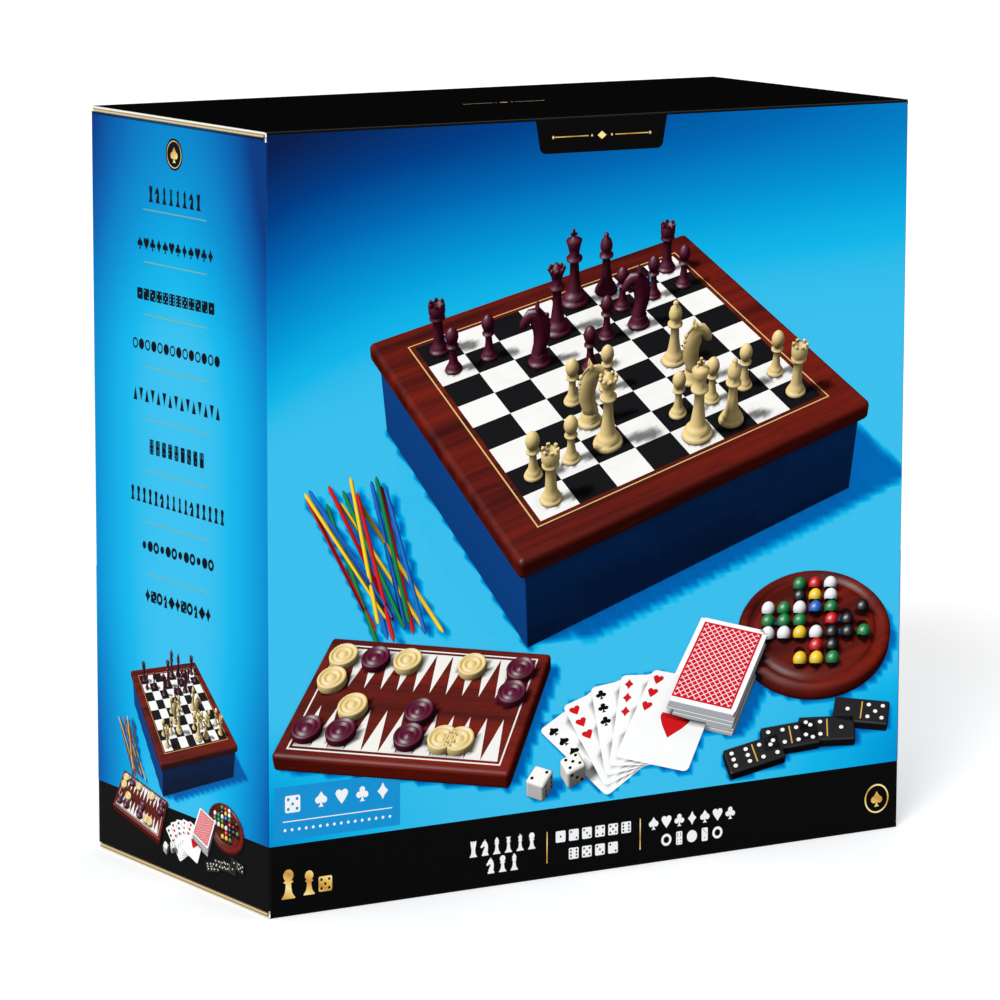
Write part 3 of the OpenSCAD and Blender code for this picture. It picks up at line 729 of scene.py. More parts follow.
def latticed(sheet, x, y, half_w, half_l, colour=ink(206, 24, 44)):
    """Card back: white border round a coloured field with a white diagonal lattice"""
    pitch = 5.5
    first = ((x + y) / pitch).fraction() - 0.5
    second = ((x - y) / pitch).fraction() - 0.5
    lines = abs(first).below(0.09).most(abs(second).below(0.09))
    studs = (first * first + second * second).below(0.035)
    field = abs(x).below(half_w - 4.0) * abs(y).below(half_l - 4.0)
    rule = abs(x).below(half_w - 5.6) * abs(y).below(half_l - 5.6)
    filled = sheet.mix(lines.most(studs) * rule, colour, ink(250, 222, 222))
    return sheet.mix(field, ink(248, 247, 246), filled)


def pipped(a, b, count, pitch, r):
    """1 inside the pips of a die or domino half; a and b run from its middle"""

    def spot(x, y):
        return (x * x + y * y).below(r * r)

    corner = spot(abs(a) - pitch, abs(b) - pitch)
    rising = (a * b).above(0.0)
    middle = spot(a, b) * (count * 0.5).fraction().above(0.25)
    falling_pair = corner * (1.0 - rising) * count.above(1.5)
    rising_pair = corner * rising * count.above(3.5)
    level_pair = spot(abs(a) - pitch, b) * count.above(5.5)
    return middle.most(falling_pair).most(rising_pair).most(level_pair)


def in_stack(place, pitch):
    """Number of a piece in a stack along one axis, and the place from its middle"""
    steps = place / pitch
    return steps.whole(), (steps.fraction() - 0.5) * pitch


def picked(sheet, chance, colours):
    """One of the colours for a number from 0 to 1"""
    return sheet.ramp(chance, [(i / len(colours), c) for i, c in enumerate(colours)], "CONSTANT")


# ---------------------------------------------------------------- looks of the contents

# Room between loose pieces and the widths of those in stacks, in millimetres
GAP = 0.3
STACKS = {"marbles": 14.0, "pick_up_sticks": 3.0, "dice": 16.0}
DOMINO = (44.0, 22.0, 7.0)
# How far apart the pips of a domino are, and their radius
DOMINO_PIPS = (5.6, 1.7)
DOMINO_BAR = (0.5, 8.0)

# Squares of the chequerboard, cells of the ludo board and half the field of points
SQUARE = 34.5
LUDO_CELL = 17.0
POINTS_HALF = (129.0, 132.0)

DRAWER_INSIDE = ("side_left", "side_right", "back", "bottom", "dividers")
CABINET_WALLS = ("side_left", "side_right", "back", "base")


def from_corner(sheet, point, node):
    """X, Y and Z of a point from the lower corner of a node's box, in millimetres"""
    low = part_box(node)[0]
    return [f - low[i] / MM + GAP / 2 for i, f in enumerate(sheet.axes(point, 1 / MM))]


def on_board(node, pattern, *sizes):
    """Paints a pattern on the play face of a board, which looks to the carton's front"""
    low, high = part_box(node)

    def over(sheet, point, wood):
        x, y, z = sheet.axes(point, 1 / MM)
        up = z - (low.z + high.z) / 2 / MM
        return pattern(sheet, x, up, y.below(low.y / MM + 0.1), wood, *sizes)

    return over


def marble_colour(sheet, point):
    pitch = STACKS["marbles"] + GAP
    cells = [(f / pitch).whole() for f in from_corner(sheet, point, "marbles")]
    return picked(sheet, sheet.chance(*cells), PALETTE)


def stick_colour(sheet, point):
    pitch = STACKS["pick_up_sticks"] + GAP
    x, y, _ = [(f / pitch).whole() for f in from_corner(sheet, point, "pick_up_sticks")]
    return picked(sheet, sheet.chance(x, y), [RED, YELLOW, BLUE, GREEN])


def domino_colour(sheet, point):
    """Black tiles with white pips and a gold bar on the face towards the carton's front"""
    x, y, z = from_corner(sheet, point, "dominoes")
    length, width, thick = DOMINO
    column, a = in_stack(x, length + GAP)
    layer, c = in_stack(y, thick + GAP)
    row, b = in_stack(z, width + GAP)
    count = (sheet.chance(column + a.above(0.0) * 0.5, layer, row) * 6.99).whole()
    face = c.below(-3.4)
    pips = pipped(abs(a) - length / 4, b, count, *DOMINO_PIPS) * face
    bar = abs(a).below(DOMINO_BAR[0]) * abs(b).below(DOMINO_BAR[1]) * face
    return sheet.mix(bar, sheet.mix(pips, ink(24, 24, 26), IVORY), GOLD_LINE)


def dice_colour(sheet, point):
    """Ivory with black pips on all six sides, opposite sides seven together"""
    pitch = STACKS["dice"] + GAP
    places = [in_stack(f, pitch)[1] for f in from_corner(sheet, point, "dice")]
    pips = None
    for axis, (near, far) in enumerate(((2, 5), (6, 1), (3, 4))):
        out, a, b = (places[(axis + i) % 3] for i in range(3))
        count = out.above(0.0) * (far - near) + near
        side = pipped(a, b, count, 4.2, 1.4) * abs(out).above(7.8)
        pips = side if pips is None else pips.most(side)
    return sheet.mix(pips, IVORY, BLACK_INK)


def card_box_colour(sheet, point):
    """A red box and a blue box with a lattice on their largest sides"""
    low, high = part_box("card_packs")
    x, y, z = sheet.axes(point, 1 / MM)
    across, up = x - (low.x + high.x) / 2 / MM, z - (low.z + high.z) / 2 / MM
    lower = y.above((low.y + high.y) / 2 / MM)
    half_w, half_l = (high.x - low.x) / 2 / MM, (high.z - low.z) / 2 / MM
    red = latticed(sheet, across, up, half_w, half_l)
    blue = latticed(sheet, across, up, half_w, half_l, ink(26, 70, 160))
    return sheet.mix(lower, red, blue)


def booklet_colour(sheet, point):
    """Blue cover with a black foot, and the edges of its white leaves"""
    low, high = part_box("rules_booklet")
    x, y, z = sheet.axes(point, 1 / MM)
    v = high.z / MM - z
    blue = sheet.use(BLUE_PRINT, Darkness=front_darkness(x / (high.x / MM), v)).outputs[0]
    cover = sheet.mix(v.above((high.z - low.z) / MM * 0.88), blue, BLACK_INK)
    leaves = ((y / 0.24).fraction() - 0.5).above(0.28)
    edge = sheet.mix(leaves, ink(240, 238, 232), ink(188, 184, 176))
    return sheet.mix(y.below(low.y / MM + 0.05), edge, cover)


def finish(nodes, made):
    """Gives CAD nodes a material"""
    for name in nodes:
        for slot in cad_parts[name].material_slots:
            slot.material = made


def dress_frame():
    for name, made in BOARDS.items():
        finish([name], made)
    finish(["foam_cap_left", "foam_cap_right"], foam_material())
    mahogany = wood_material("mahogany", MAHOGANY_DARK, MAHOGANY_LIGHT)
    finish(["runners_upper", "runners_lower"], mahogany)
    finish([f"drawer_{part}" for part in DRAWER_INSIDE], mahogany)
    for node, name, pattern, *sizes in (
        ("cabinet_top", "chequered_mahogany", chequered, SQUARE),
        ("ludo_board", "ludo_mahogany", homeward, LUDO_CELL),
        ("backgammon_board", "backgammon_mahogany", pointed, *POINTS_HALF),
    ):
        painted = on_board(node, pattern, *sizes)
        finish([node], wood_material(name, MAHOGANY_DARK, MAHOGANY_LIGHT, over=painted))
    navy = wood_material("navy_paint", NAVY, ink(14, 52, 104))
    finish([f"cabinet_{part}" for part in CABINET_WALLS] + ["drawer_front"], navy)
    for nodes, name, colour in (
        (["rules_booklet"], "booklet_print", booklet_colour),
        (["marbles"], "glossy_marbles", marble_colour),
        (["pick_up_sticks"], "moulded_sticks", stick_colour),
        (["card_packs"], "card_box_print", card_box_colour),
        (["dominoes"], "domino_tiles", domino_colour),
        (["dice"], "ivory_dice", dice_colour),
        (["draughts_light", "chess_light"], "moulded_cream", lambda s, p: CREAM),
        (["draughts_dark", "chess_dark"], "moulded_burgundy", lambda s, p: BURGUNDY),
    ):
        finish(nodes, plastic_material(name, colour))


dress_frame()


# ---------------------------------------------------------------- marbles in their bay


def stacking_tree():
    """Geometry nodes: balls stacked from a corner, some across, some up, then in rows"""
    tree = bpy.data.node_groups.new("stacked_balls", "GeometryNodeTree")
    kinds = {
        "Diameter": "NodeSocketFloat", "Gap": "NodeSocketFloat", "Across": "NodeSocketInt",
        "Up": "NodeSocketInt", "Count": "NodeSocketInt", "Corner": "NodeSocketVector",
        "Finish": "NodeSocketMaterial",
    }
    for label, kind in kinds.items():
        tree.interface.new_socket(label, in_out="INPUT", socket_type=kind)
    tree.interface.new_socket("Geometry", in_out="OUTPUT", socket_type="NodeSocketGeometry")
    sheet = Sheet(tree)
    given = sheet.new("NodeGroupInput").outputs
    across, up = Field(tree, given["Across"]), Field(tree, given["Up"])
    diameter = Field(tree, given["Diameter"])
    number = Field(tree, sheet.new("GeometryNodeInputIndex").outputs[0])
    column = number - (number / across).whole() * across
    row = (number / (across * up)).whole()
    layer = (number / across).whole() - row * up
    pitch = diameter + Field(tree, given["Gap"])
    half = diameter * 0.5
    line = sheet.new("GeometryNodeMeshLine")
    sheet.put(line.inputs["Count"], given["Count"])
    placed = sheet.new("GeometryNodeSetPosition")
    sheet.put(placed.inputs["Geometry"], line.outputs["Mesh"])
    x, y, z = [step * pitch + half for step in (column, layer, row)]
    sheet.put(placed.inputs["Position"], sheet.vector(-1.0 * x, -1.0 * y, z))
    sheet.put(placed.inputs["Offset"], given["Corner"])
    sphere = sheet.new("GeometryNodeMeshUVSphere")
    sphere.inputs["Segments"].default_value = 28
    sphere.inputs["Rings"].default_value = 16
    sheet.put(sphere.inputs["Radius"], half)
    smooth = sheet.new("GeometryNodeSetShadeSmooth")
    sheet.put(smooth.inputs["Geometry"], sphere.outputs["Mesh"])
    balls = sheet.new("GeometryNodeInstanceOnPoints")
    sheet.put(balls.inputs["Points"], placed.outputs["Geometry"])
    sheet.put(balls.inputs["Instance"], smooth.outputs["Geometry"])
    real = sheet.new("GeometryNodeRealizeInstances")
    sheet.put(real.inputs["Geometry"], balls.outputs["Instances"])
    finished = sheet.new("GeometryNodeSetMaterial")
    sheet.put(finished.inputs["Geometry"], real.outputs["Geometry"])
    sheet.put(finished.inputs["Material"], given["Finish"])
    sheet.put(sheet.new("NodeGroupOutput").inputs["Geometry"], finished.outputs["Geometry"])
    return tree


def stack_marbles():
    """Sixty smooth marbles, four across and four up, as the drawer's bay holds them"""
    low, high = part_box("marbles")
    tree = stacking_tree()
    values = {
        "Diameter": STACKS["marbles"] * MM, "Gap": GAP * MM, "Across": 4, "Up": 4, "Count": 60,
        "Corner": (high.x, high.y, low.z), "Finish": bpy.data.materials["glossy_marbles"],
    }
    piece = bpy.data.objects.new("stacked_marbles", bpy.data.meshes.new("stacked_marbles"))
    bpy.context.scene.collection.objects.link(piece)
    stacker = piece.modifiers.new("stack", "NODES")
    stacker.node_group = tree
    for socket in tree.interface.items_tree:
        if socket.in_out == "INPUT":
            stacker[socket.identifier] = values[socket.name]
    whole = piece.evaluated_get(bpy.context.evaluated_depsgraph_get())
    mesh = bpy.data.meshes.new_from_object(whole)
    piece.modifiers.clear()
    piece.data = mesh
    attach(piece, "carton")
    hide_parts("marbles")


stack_marbles()


# ---------------------------------------------------------------- solids of the picture


class Solid:
    """A mesh in millimetres with a normal and an own place for every corner"""

    def __init__(self, points, faces, normals=None, own=None):
        self.points = np.array(points, float)
        self.faces = faces
        self.own = self.points.copy() if own is None else own
        self.normals = smooth_normals(self.points, faces) if normals is None else normals

    def placed(self, at=(0, 0, 0), turn=0.0, tip=0.0, lean=0.0):
        """Copy tipped about X, leaned about Y, turned about Z (degrees), then moved"""
        angles = [math.radians(a) for a in (tip, lean, turn)]
        spin = np.array(
            Matrix.Rotation(angles[2], 3, "Z")
            @ Matrix.Rotation(angles[1], 3, "Y")
            @ Matrix.Rotation(angles[0], 3, "X")
        )
        points = self.points @ spin.T + np.array(at, float)
        return Solid(points, self.faces, self.normals @ spin.T, self.own)

    def scaled(self, size):
        return Solid(self.points * size, self.faces, self.normals)


def smooth_normals(points, faces):
    """Corner normals averaged over the faces round each corner"""
    total = np.zeros_like(points)
    for face in faces:
        a, b, c = points[face[0]], points[face[1]], points[face[2]]
        d = points[face[-1]]
        normal = np.cross(b - a, c - a) + np.cross(c - a, d - a)
        for corner in face:
            total[corner] += normal
    return total / np.maximum(np.linalg.norm(total, axis=1, keepdims=True), 1e-9)


def joined(solids):
    """One solid from several"""
    points = np.concatenate([s.points for s in solids])
    normals = np.concatenate([s.normals for s in solids])
    faces, start = [], 0
    for s in solids:
        faces += [tuple(c + start for c in face) for face in s.faces]
        start += len(s.points)
    return Solid(points, faces, normals)


def grid_faces(rows, columns):
    """Faces of a grid whose corners run along its columns, row after row"""
    n = columns + 1
    return [
        (r * n + c, (r + 1) * n + c, (r + 1) * n + c + 1, r * n + c + 1)
        for r in range(rows)
        for c in range(columns)
    ]


def stitched(rings):
    """Solid through closed rings of corners; a ring of one corner is a pole"""
    points, faces, last = [], [], None
    for ring in rings:
        now = list(range(len(points), len(points) + len(ring)))
        points += ring
        if last:
            count = max(len(last), len(now))
            for i in range(count):
                j = (i + 1) % count
                a, b = last[i % len(last)], last[j % len(last)]
                d, c = now[i % len(now)], now[j % len(now)]
                faces.append(tuple(dict.fromkeys((a, b, c, d))))
        last = now
    return Solid(points, faces)


def turned(profile, sides=20):
    """Lathe-turned solid from (radius, height) points, bottom to top"""
    rings = []
    for r, z in profile:
        count = sides if r > 0 else 1
        angles = [2 * math.pi * i / sides for i in range(count)]
        rings.append([(r * math.cos(a), r * math.sin(a), z) for a in angles])
    return stitched(rings)


def ball(r, sides=16, rows=10):
    bends = [math.pi * (i / rows - 0.5) for i in range(rows + 1)]
    profile = [(max(0.0, r * math.cos(b)), r + r * math.sin(b)) for b in bends]
    profile[0], profile[-1] = (0.0, 0.0), (0.0, 2 * r)
    return turned(profile, sides)


def spaced(half, r, step):
    """Places along one axis of a rounded block: close in its rounding, then even"""
    flat = half - r
    count = max(1, round(2 * flat / step))
    inner = [-flat + 2 * flat * i / count for i in range(count + 1)]
    bend = [flat + r * s for s in (0.38, 0.72, 1.0)] if r > 0.25 else [half]
    return [-b for b in reversed(bend)] + inner + bend


def block(w, l, h, r=1.0, step=12.0):
    """Box with rounded edges that stands on z = 0, its sides in a grid"""
    half = np.array([w / 2, l / 2, h / 2])
    places = [spaced(s, r, step) for s in half]
    points, faces = [], []
    for axis in range(3):
        first, second = places[(axis + 1) % 3], places[(axis + 2) % 3]
        for side in (-1, 1):
            start = len(points)
            for a in first:
                for b in second:
                    p = [0.0, 0.0, 0.0]
                    p[axis] = side * half[axis]
                    p[(axis + 1) % 3] = a
                    p[(axis + 2) % 3] = b
                    points.append(p)
            for loop in grid_faces(len(first) - 1, len(second) - 1):
                face = tuple(start + c for c in loop)
                faces.append(face if side > 0 else face[::-1])
    points = np.array(points)
    core = np.clip(points, -(half - r), half - r)
    out = points - core
    out /= np.linalg.norm(out, axis=1, keepdims=True)
    points = core + out * r
    points[:, 2] += h / 2
    return Solid(points, faces, out)


def leaf(w, l, corner, step=6.0):
    """Thin flat card with round corners, face up"""
    xs, ys = spaced(w / 2, corner, step), spaced(l / 2, corner, step)
    half = np.array([w / 2 - corner, l / 2 - corner])
    flat = np.array([(x, y) for x in xs for y in ys])
    core = np.clip(flat, -half, half)
    out = flat - core
    reach = np.maximum(np.linalg.norm(out, axis=1, keepdims=True), 1e-9)
    longest = np.maximum(np.abs(out).max(axis=1, keepdims=True), 1e-9)
    flat = core + out / reach * longest
    faces = grid_faces(len(xs) - 1, len(ys) - 1)
    return Solid(np.column_stack([flat, np.zeros(len(flat))]), faces)


def shape_leaf(outline):
    """Flat filled outline, face up"""
    points = [(x, y, 0.0) for x, y in outline]
    faces = geometry.tessellate_polygon([[Vector(p) for p in points]])
    fixed = []
    for a, b, c in faces:
        ax, ay, bx, by, cx, cy = (*outline[a], *outline[b], *outline[c])
        left = (bx - ax) * (cy - ay) - (by - ay) * (cx - ax) > 0
        fixed.append((a, b, c) if left else (a, c, b))
    return Solid(points, fixed)


# ---------------------------------------------------------------- turned playing pieces

# Outlines as shares of a piece's height: (radius, height)
FOOT = [(0, 0), (0.21, 0), (0.215, 0.03), (0.2, 0.065), (0.165, 0.08), (0.175, 0.11), (0.14, 0.145)]
OUTLINES = {
    "p": FOOT + [
        (0.11, 0.22), (0.085, 0.38), (0.08, 0.52), (0.15, 0.56), (0.15, 0.59), (0.085, 0.625),
        (0.13, 0.68), (0.16, 0.77), (0.155, 0.85), (0.12, 0.93), (0.06, 0.985), (0, 1),
    ],
    "r": FOOT + [
        (0.115, 0.24), (0.1, 0.45), (0.1, 0.62), (0.165, 0.67), (0.165, 0.7), (0.13, 0.73),
        (0.17, 0.78), (0.175, 0.94), (0.12, 0.94), (0.12, 0.86), (0, 0.86),
    ],
    "b": FOOT + [
        (0.11, 0.22), (0.08, 0.4), (0.07, 0.58), (0.13, 0.61), (0.13, 0.64), (0.075, 0.67),
        (0.11, 0.74), (0.115, 0.8), (0.09, 0.88), (0.04, 0.93), (0.05, 0.96), (0.035, 0.99), (0, 1),
    ],
    "q": FOOT + [
        (0.11, 0.2), (0.075, 0.4), (0.065, 0.62), (0.12, 0.65), (0.12, 0.68), (0.07, 0.71),
        (0.09, 0.82), (0.135, 0.92), (0.1, 0.9), (0.06, 0.95), (0.035, 0.99), (0, 1),
    ],
    "k": FOOT + [
        (0.105, 0.19), (0.075, 0.38), (0.065, 0.58), (0.12, 0.61), (0.12, 0.64), (0.07, 0.67),
        (0.09, 0.78), (0.12, 0.87), (0.07, 0.89), (0.03, 0.92), (0, 0.925),
    ],
}
HEIGHTS = {"p": 37, "r": 43, "n": 50, "b": 53, "q": 60, "k": 64}


def horse():
    """Knight: a turned foot, an arched neck swept into a head, ears and mane"""
    foot = turned([(r, z) for r, z in FOOT + [(0.15, 0.2), (0.1, 0.22), (0, 0.23)]])
    spine = [
        (-0.02, 0.18, 0.13, 0.14), (0.02, 0.32, 0.13, 0.12), (0.05, 0.46, 0.15, 0.11),
        (0.05, 0.60, 0.16, 0.10), (0.01, 0.74, 0.17, 0.095), (-0.06, 0.84, 0.15, 0.09),
        (-0.14, 0.84, 0.115, 0.08), (-0.22, 0.77, 0.09, 0.07), (-0.28, 0.69, 0.075, 0.06),
        (-0.31, 0.65, 0.04, 0.035),
    ]
    rings = []
    for i, (x, z, tall, wide) in enumerate(spine):
        before, after = spine[max(i - 1, 0)], spine[min(i + 1, len(spine) - 1)]
        along = Vector((after[0] - before[0], after[1] - before[1])).normalized()
        across = (along[1], -along[0])
        ring = []
        for k in range(14):
            a = 2 * math.pi * k / 14
            ring.append((
                x + across[0] * tall * math.cos(a),
                wide * math.sin(a),
                z + across[1] * tall * math.cos(a),
            ))
        rings.append(ring)
    nose = spine[-1]
    neck = stitched(rings + [[(nose[0] - 0.02, 0.0, nose[1] - 0.02)]])
    ear = turned([(0, 0), (0.04, 0.01), (0.035, 0.07), (0, 0.15)], 8)
    ears = [ear.placed((-0.02, y, 0.92), lean=8) for y in (-0.05, 0.05)]
    mane = [
        ball(0.045, 8, 6).placed((0.12 + 0.05 * math.sin(k * 0.5), 0, 0.34 + k * 0.085))
        for k in range(6)
    ]
    return joined([foot, neck, *ears, *mane])


def crowned(kind):
    """A turned piece with its battlements, crown or cross"""
    if kind == "n":
        return horse()
    body = turned(OUTLINES[kind])
    if kind == "r":
        tooth = block(0.07, 0.05, 0.08, 0.01, 1)
        top = [
            tooth.placed((0.145 * math.sin(a), 0.145 * math.cos(a), 0.92), turn=-math.degrees(a))
            for a in (2 * math.pi * i / 6 for i in range(6))
        ]
    elif kind == "q":
        top = [
            ball(0.03, 8, 6).placed((0.115 * math.cos(a), 0.115 * math.sin(a), 0.9))
            for a in (2 * math.pi * i / 8 for i in range(8))
        ]
    elif kind == "k":
        top = [
            block(0.035, 0.035, 0.12, 0.005, 1).placed((0, 0, 0.9)),
            block(0.1, 0.035, 0.035, 0.005, 1).placed((0, 0, 0.94)),
        ]
    else:
        top = []
    return joined([body, *top])


def draughtsman(r, t):
    """Flat turned piece with ring grooves"""
    outline = [
        (0, 0), (r - 0.8, 0), (r, 0.8), (r, t - 0.8), (r - 0.8, t), (r * 0.82, t),
        (r * 0.77, t - 1.1), (r * 0.66, t - 1.1), (r * 0.61, t), (r * 0.48, t),
        (r * 0.43, t - 1.1), (r * 0.3, t - 1.1), (r * 0.24, t), (0, t),
    ]
    return turned(outline, 24)


# Pips of a die or a domino half, as shares of its width
PIPS = {
    0: [],
    1: [(0, 0)],
    2: [(-1, 1), (1, -1)],
    3: [(-1, 1), (0, 0), (1, -1)],
    4: [(-1, -1), (-1, 1), (1, -1), (1, 1)],
    5: [(-1, -1), (-1, 1), (0, 0), (1, -1), (1, 1)],
    6: [(-1, -1), (-1, 0), (-1, 1), (1, -1), (1, 0), (1, 1)],
}


def arc(x, y, r, start, end, steps=8):
    """Points along an arc, angles in degrees"""
    angles = [math.radians(start + (end - start) * i / steps) for i in range(steps + 1)]
    return [(x + r * math.cos(a), y + r * math.sin(a)) for a in angles]


def suit(kind, size):
    """Outline of a card suit, its height about the given size, round its middle"""
    stem = [(0.06, -0.25), (0.10, -0.40), (0.2, -0.5), (-0.2, -0.5), (-0.10, -0.40), (-0.06, -0.25)]
    if kind == "diamond":
        points = [(0, 0.55), (-0.16, 0.24), (-0.4, 0), (-0.16, -0.24), (0, -0.55)]
        points += [(0.16, -0.24), (0.4, 0), (0.16, 0.24)]
    elif kind == "heart":
        points = arc(-0.22, 0.22, 0.24, 20, 210, 10) + [(-0.3, -0.12), (0, -0.5), (0.3, -0.12)]
        points += arc(0.22, 0.22, 0.24, -30, 160, 10)
    elif kind == "spade":
        points = [(0, 0.5), (-0.2, 0.22)] + arc(-0.22, -0.05, 0.22, 130, 315, 9)
        points += stem[::-1] + arc(0.22, -0.05, 0.22, 225, 410, 9) + [(0.2, 0.22)]
    else:
        points = arc(0, 0.26, 0.21, -50, 230, 12) + arc(-0.24, -0.06, 0.21, 70, 330, 12)
        points += stem[::-1] + arc(0.24, -0.06, 0.21, 210, 470, 12)
    return [(x * size, y * size) for x, y in points]


# ---------------------------------------------------------------- the printed still life

# The picture's own eye and light: distance, height angle, size and place on the face
EYE_FAR = 1150.0
EYE_RISE = 37.0
LIGHT = Vector((-0.55, -0.12, 0.82)).normalized()
KEY_LIGHT = 0.86
SKY_LIGHT = 0.26
# How far the picture looks for what shades a point: from its light, and in corners
SHADOW_REACH = 700.0
CORNER_REACH = 110.0
# Heights over the face: the ground, the farthest and nearest corners, one layer of marks
GROUND_LIFT = 0.02
LIFT = (0.05, 0.30)
OVERLAY = 0.006


class StillLife:
    """Lights the picture's solids, then flattens them on a face of the carton"""

    def __init__(self):
        rise = math.radians(EYE_RISE)
        self.eye = np.array([0, -EYE_FAR * math.cos(rise), EYE_FAR * math.sin(rise)])
        self.view = np.array([
            [1, 0, 0],
            [0, math.sin(rise), math.cos(rise)],
            [0, -math.cos(rise), math.sin(rise)],
        ])
        self.parts = []

    def add(self, solid, colour, finish="plain", gloss=0.0, over=0):
        self.parts.append((solid, colour, finish, gloss, over))

    def seen(self, points):
        """Across, up and depth of points from the eye, at unit size"""
        local = (points - self.eye) @ self.view.T
        depth = -local[:, 2]
        return local[:, 0] / depth, local[:, 1] / depth, depth

    def light(self):
        """Bakes the key light with soft shadows, the shade in corners and the shine"""
        whole = joined([solid for solid, *_ in self.parts])
        start = len(whole.points)
        ground = [(x * 2000, y * 2000, -0.5) for x, y in ((-1, -1), (1, -1), (1, 1), (-1, 1))]
        faces = whole.faces + [(start, start + 1, start + 2, start + 3)]
        self.tree = BVHTree.FromPolygons(whole.points.tolist() + ground, faces)
        self.shades = [self.lit(s.points, s.normals, gloss) for s, _, _, gloss, _ in self.parts]

    def lit(self, points, normals, gloss, hide=True):
        """Shade, shine and visibility at points of the picture"""
        cast = self.tree.ray_cast
        spread = [(0, 0), (0.035, 0.01), (-0.03, 0.03), (0.0, -0.04), (-0.035, -0.015)]
        lights = [(LIGHT + Vector((a, b, 0))).normalized() for a, b in spread[: 5]]
        around = []
        count = 34
        for i in range(count):
            z = 1 - 2 * (i + 0.5) / count
            a = i * math.pi * (3 - math.sqrt(5))
            ring = math.sqrt(1 - z * z)
            around.append(Vector((ring * math.cos(a), ring * math.sin(a), z)))
        to_eye = self.eye - points
        to_eye /= np.linalg.norm(to_eye, axis=1, keepdims=True)
        half = to_eye + np.array(LIGHT)
        half /= np.linalg.norm(half, axis=1, keepdims=True)
        facing = normals @ np.array(LIGHT)
        shine = np.maximum((normals * half).sum(1), 0)
        rows = np.zeros((len(points), 3))
        for i, (p, n) in enumerate(zip(points.tolist(), normals.tolist())):
            normal = Vector(n)
            place = Vector(p) + normal * 0.35
            key = 0.0
            if facing[i] > 0:
                clear = [cast(place, way, SHADOW_REACH)[0] is None for way in lights]
                key = sum(clear) / len(lights)
            open_sky = total = 0.0
            for way in around:
                slant = way.dot(normal)
                if slant > 0.15:
                    total += slant
                    if cast(place, way, CORNER_REACH)[0] is None:
                        open_sky += slant
            sky = open_sky / total
            shade = KEY_LIGHT * key * max(facing[i], 0) / LIGHT.z
            shade += SKY_LIGHT * sky * (0.75 + 0.25 * n[2])
            bright = gloss * key * (0.75 * shine[i] ** 60 + 0.10 * shine[i] ** 8)
            shown = 1.0
            if hide and cast(place, Vector(to_eye[i]), 3000)[0] is not None:
                shown = 0.0
            rows[i] = (shade, bright, shown)
        return rows

    def flattened(self, name, face, size, middle, only=None):
        """Lays the picture on a face; each finish becomes one piece"""
        depths = np.concatenate([self.seen(s.points)[2] for s, *_ in self.parts])
        near, far = 1 / depths.min(), 1 / depths.max()
        groups = {}
        for (solid, colour, finish, _, over), rows in zip(self.parts, self.shades):
            x, y, depth = self.seen(solid.points)
            u = middle[0] + size * EYE_FAR * x
            v = middle[1] - size * EYE_FAR * y
            share = (1 / depth - far) / (near - far)
            lift = LIFT[0] + (LIFT[1] - LIFT[0]) * share + over * OVERLAY
            group = groups.setdefault(finish, ([], [], [], [], []))
            start = sum(len(a) for a in group[0])
            flat = np.column_stack([u, v, lift])
            keep = []
            for loop in solid.faces:
                if rows[list(loop), 2].max() == 0:
                    continue
                ring = flat[list(loop), :2]
                area = np.dot(ring[:, 0], np.roll(ring[:, 1], -1)) - np.dot(
                    ring[:, 1], np.roll(ring[:, 0], -1)
                )
                if area < -1e-5:
                    keep.append(tuple(c + start for c in loop))
            group[0].append(flat)
            group[1].extend(keep)
            group[2].append(solid.own)
            group[3].append(rows[:, :2])
            group[4].append(np.tile(np.array(colour), (len(flat), 1)))
        for finish, (flat, faces, own, light, tint) in groups.items():
            mesh_on_face(
                f"{name}_{finish}", face, np.concatenate(flat), faces, PICTURE_INKS[finish],
                own=np.concatenate(own), light=np.concatenate(light), tint=np.concatenate(tint),
            )


def face_point(face, u, v, lift):
    """Row frame place of a point on a face of the closed carton, given in millimetres"""
    u, v, lift = u * MM, v * MM, lift * MM
    if face == "front":
        return (FRONT_LOW.x + u, FRONT_LOW.y - lift, CARTON_H - v)
    if face == "back":
        return (FRONT_HIGH.x - u, BACK_HIGH.y + lift, CARTON_H - v)
    if face == "left":
        return (FRONT_LOW.x - lift, BACK_HIGH.y - u, CARTON_H - v)
    if face == "right":
        return (FRONT_HIGH.x + lift, FRONT_LOW.y + u, CARTON_H - v)
    return (FRONT_LOW.x + u, BACK_HIGH.y - v, CARTON_H + lift)


def mesh_on_face(name, face, flat, faces, made, body="carton", slot="printed_board", **values):
    """Piece from corners (u, v, lift), with its values as attributes, unused ones left out"""
    used = sorted({c for loop in faces for c in loop})
    number = {c: i for i, c in enumerate(used)}
    mesh = bpy.data.meshes.new(name)
    corners = [face_point(face, *flat[c]) for c in used]
    mesh.from_pydata(corners, [], [tuple(number[c] for c in loop) for loop in faces])
    for label, table in values.items():
        rows = np.array(table, dtype=np.float32)[used]
        padded = np.zeros((len(rows), 4), dtype=np.float32)
        padded[:, : rows.shape[1]] = rows
        padded[:, 3] = 1.0
        if label == "own":
            mesh.attributes.new(label, "FLOAT_VECTOR", "POINT")
            mesh.attributes[label].data.foreach_set("vector", padded[:, :3].ravel())
        else:
            mesh.attributes.new(label, "FLOAT_COLOR", "POINT")
            mesh.attributes[label].data.foreach_set("color", padded.ravel())
    mesh.materials.append(made)
    piece = bpy.data.objects.new(name, mesh)
    bpy.context.scene.collection.objects.link(piece)
    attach(piece, body)


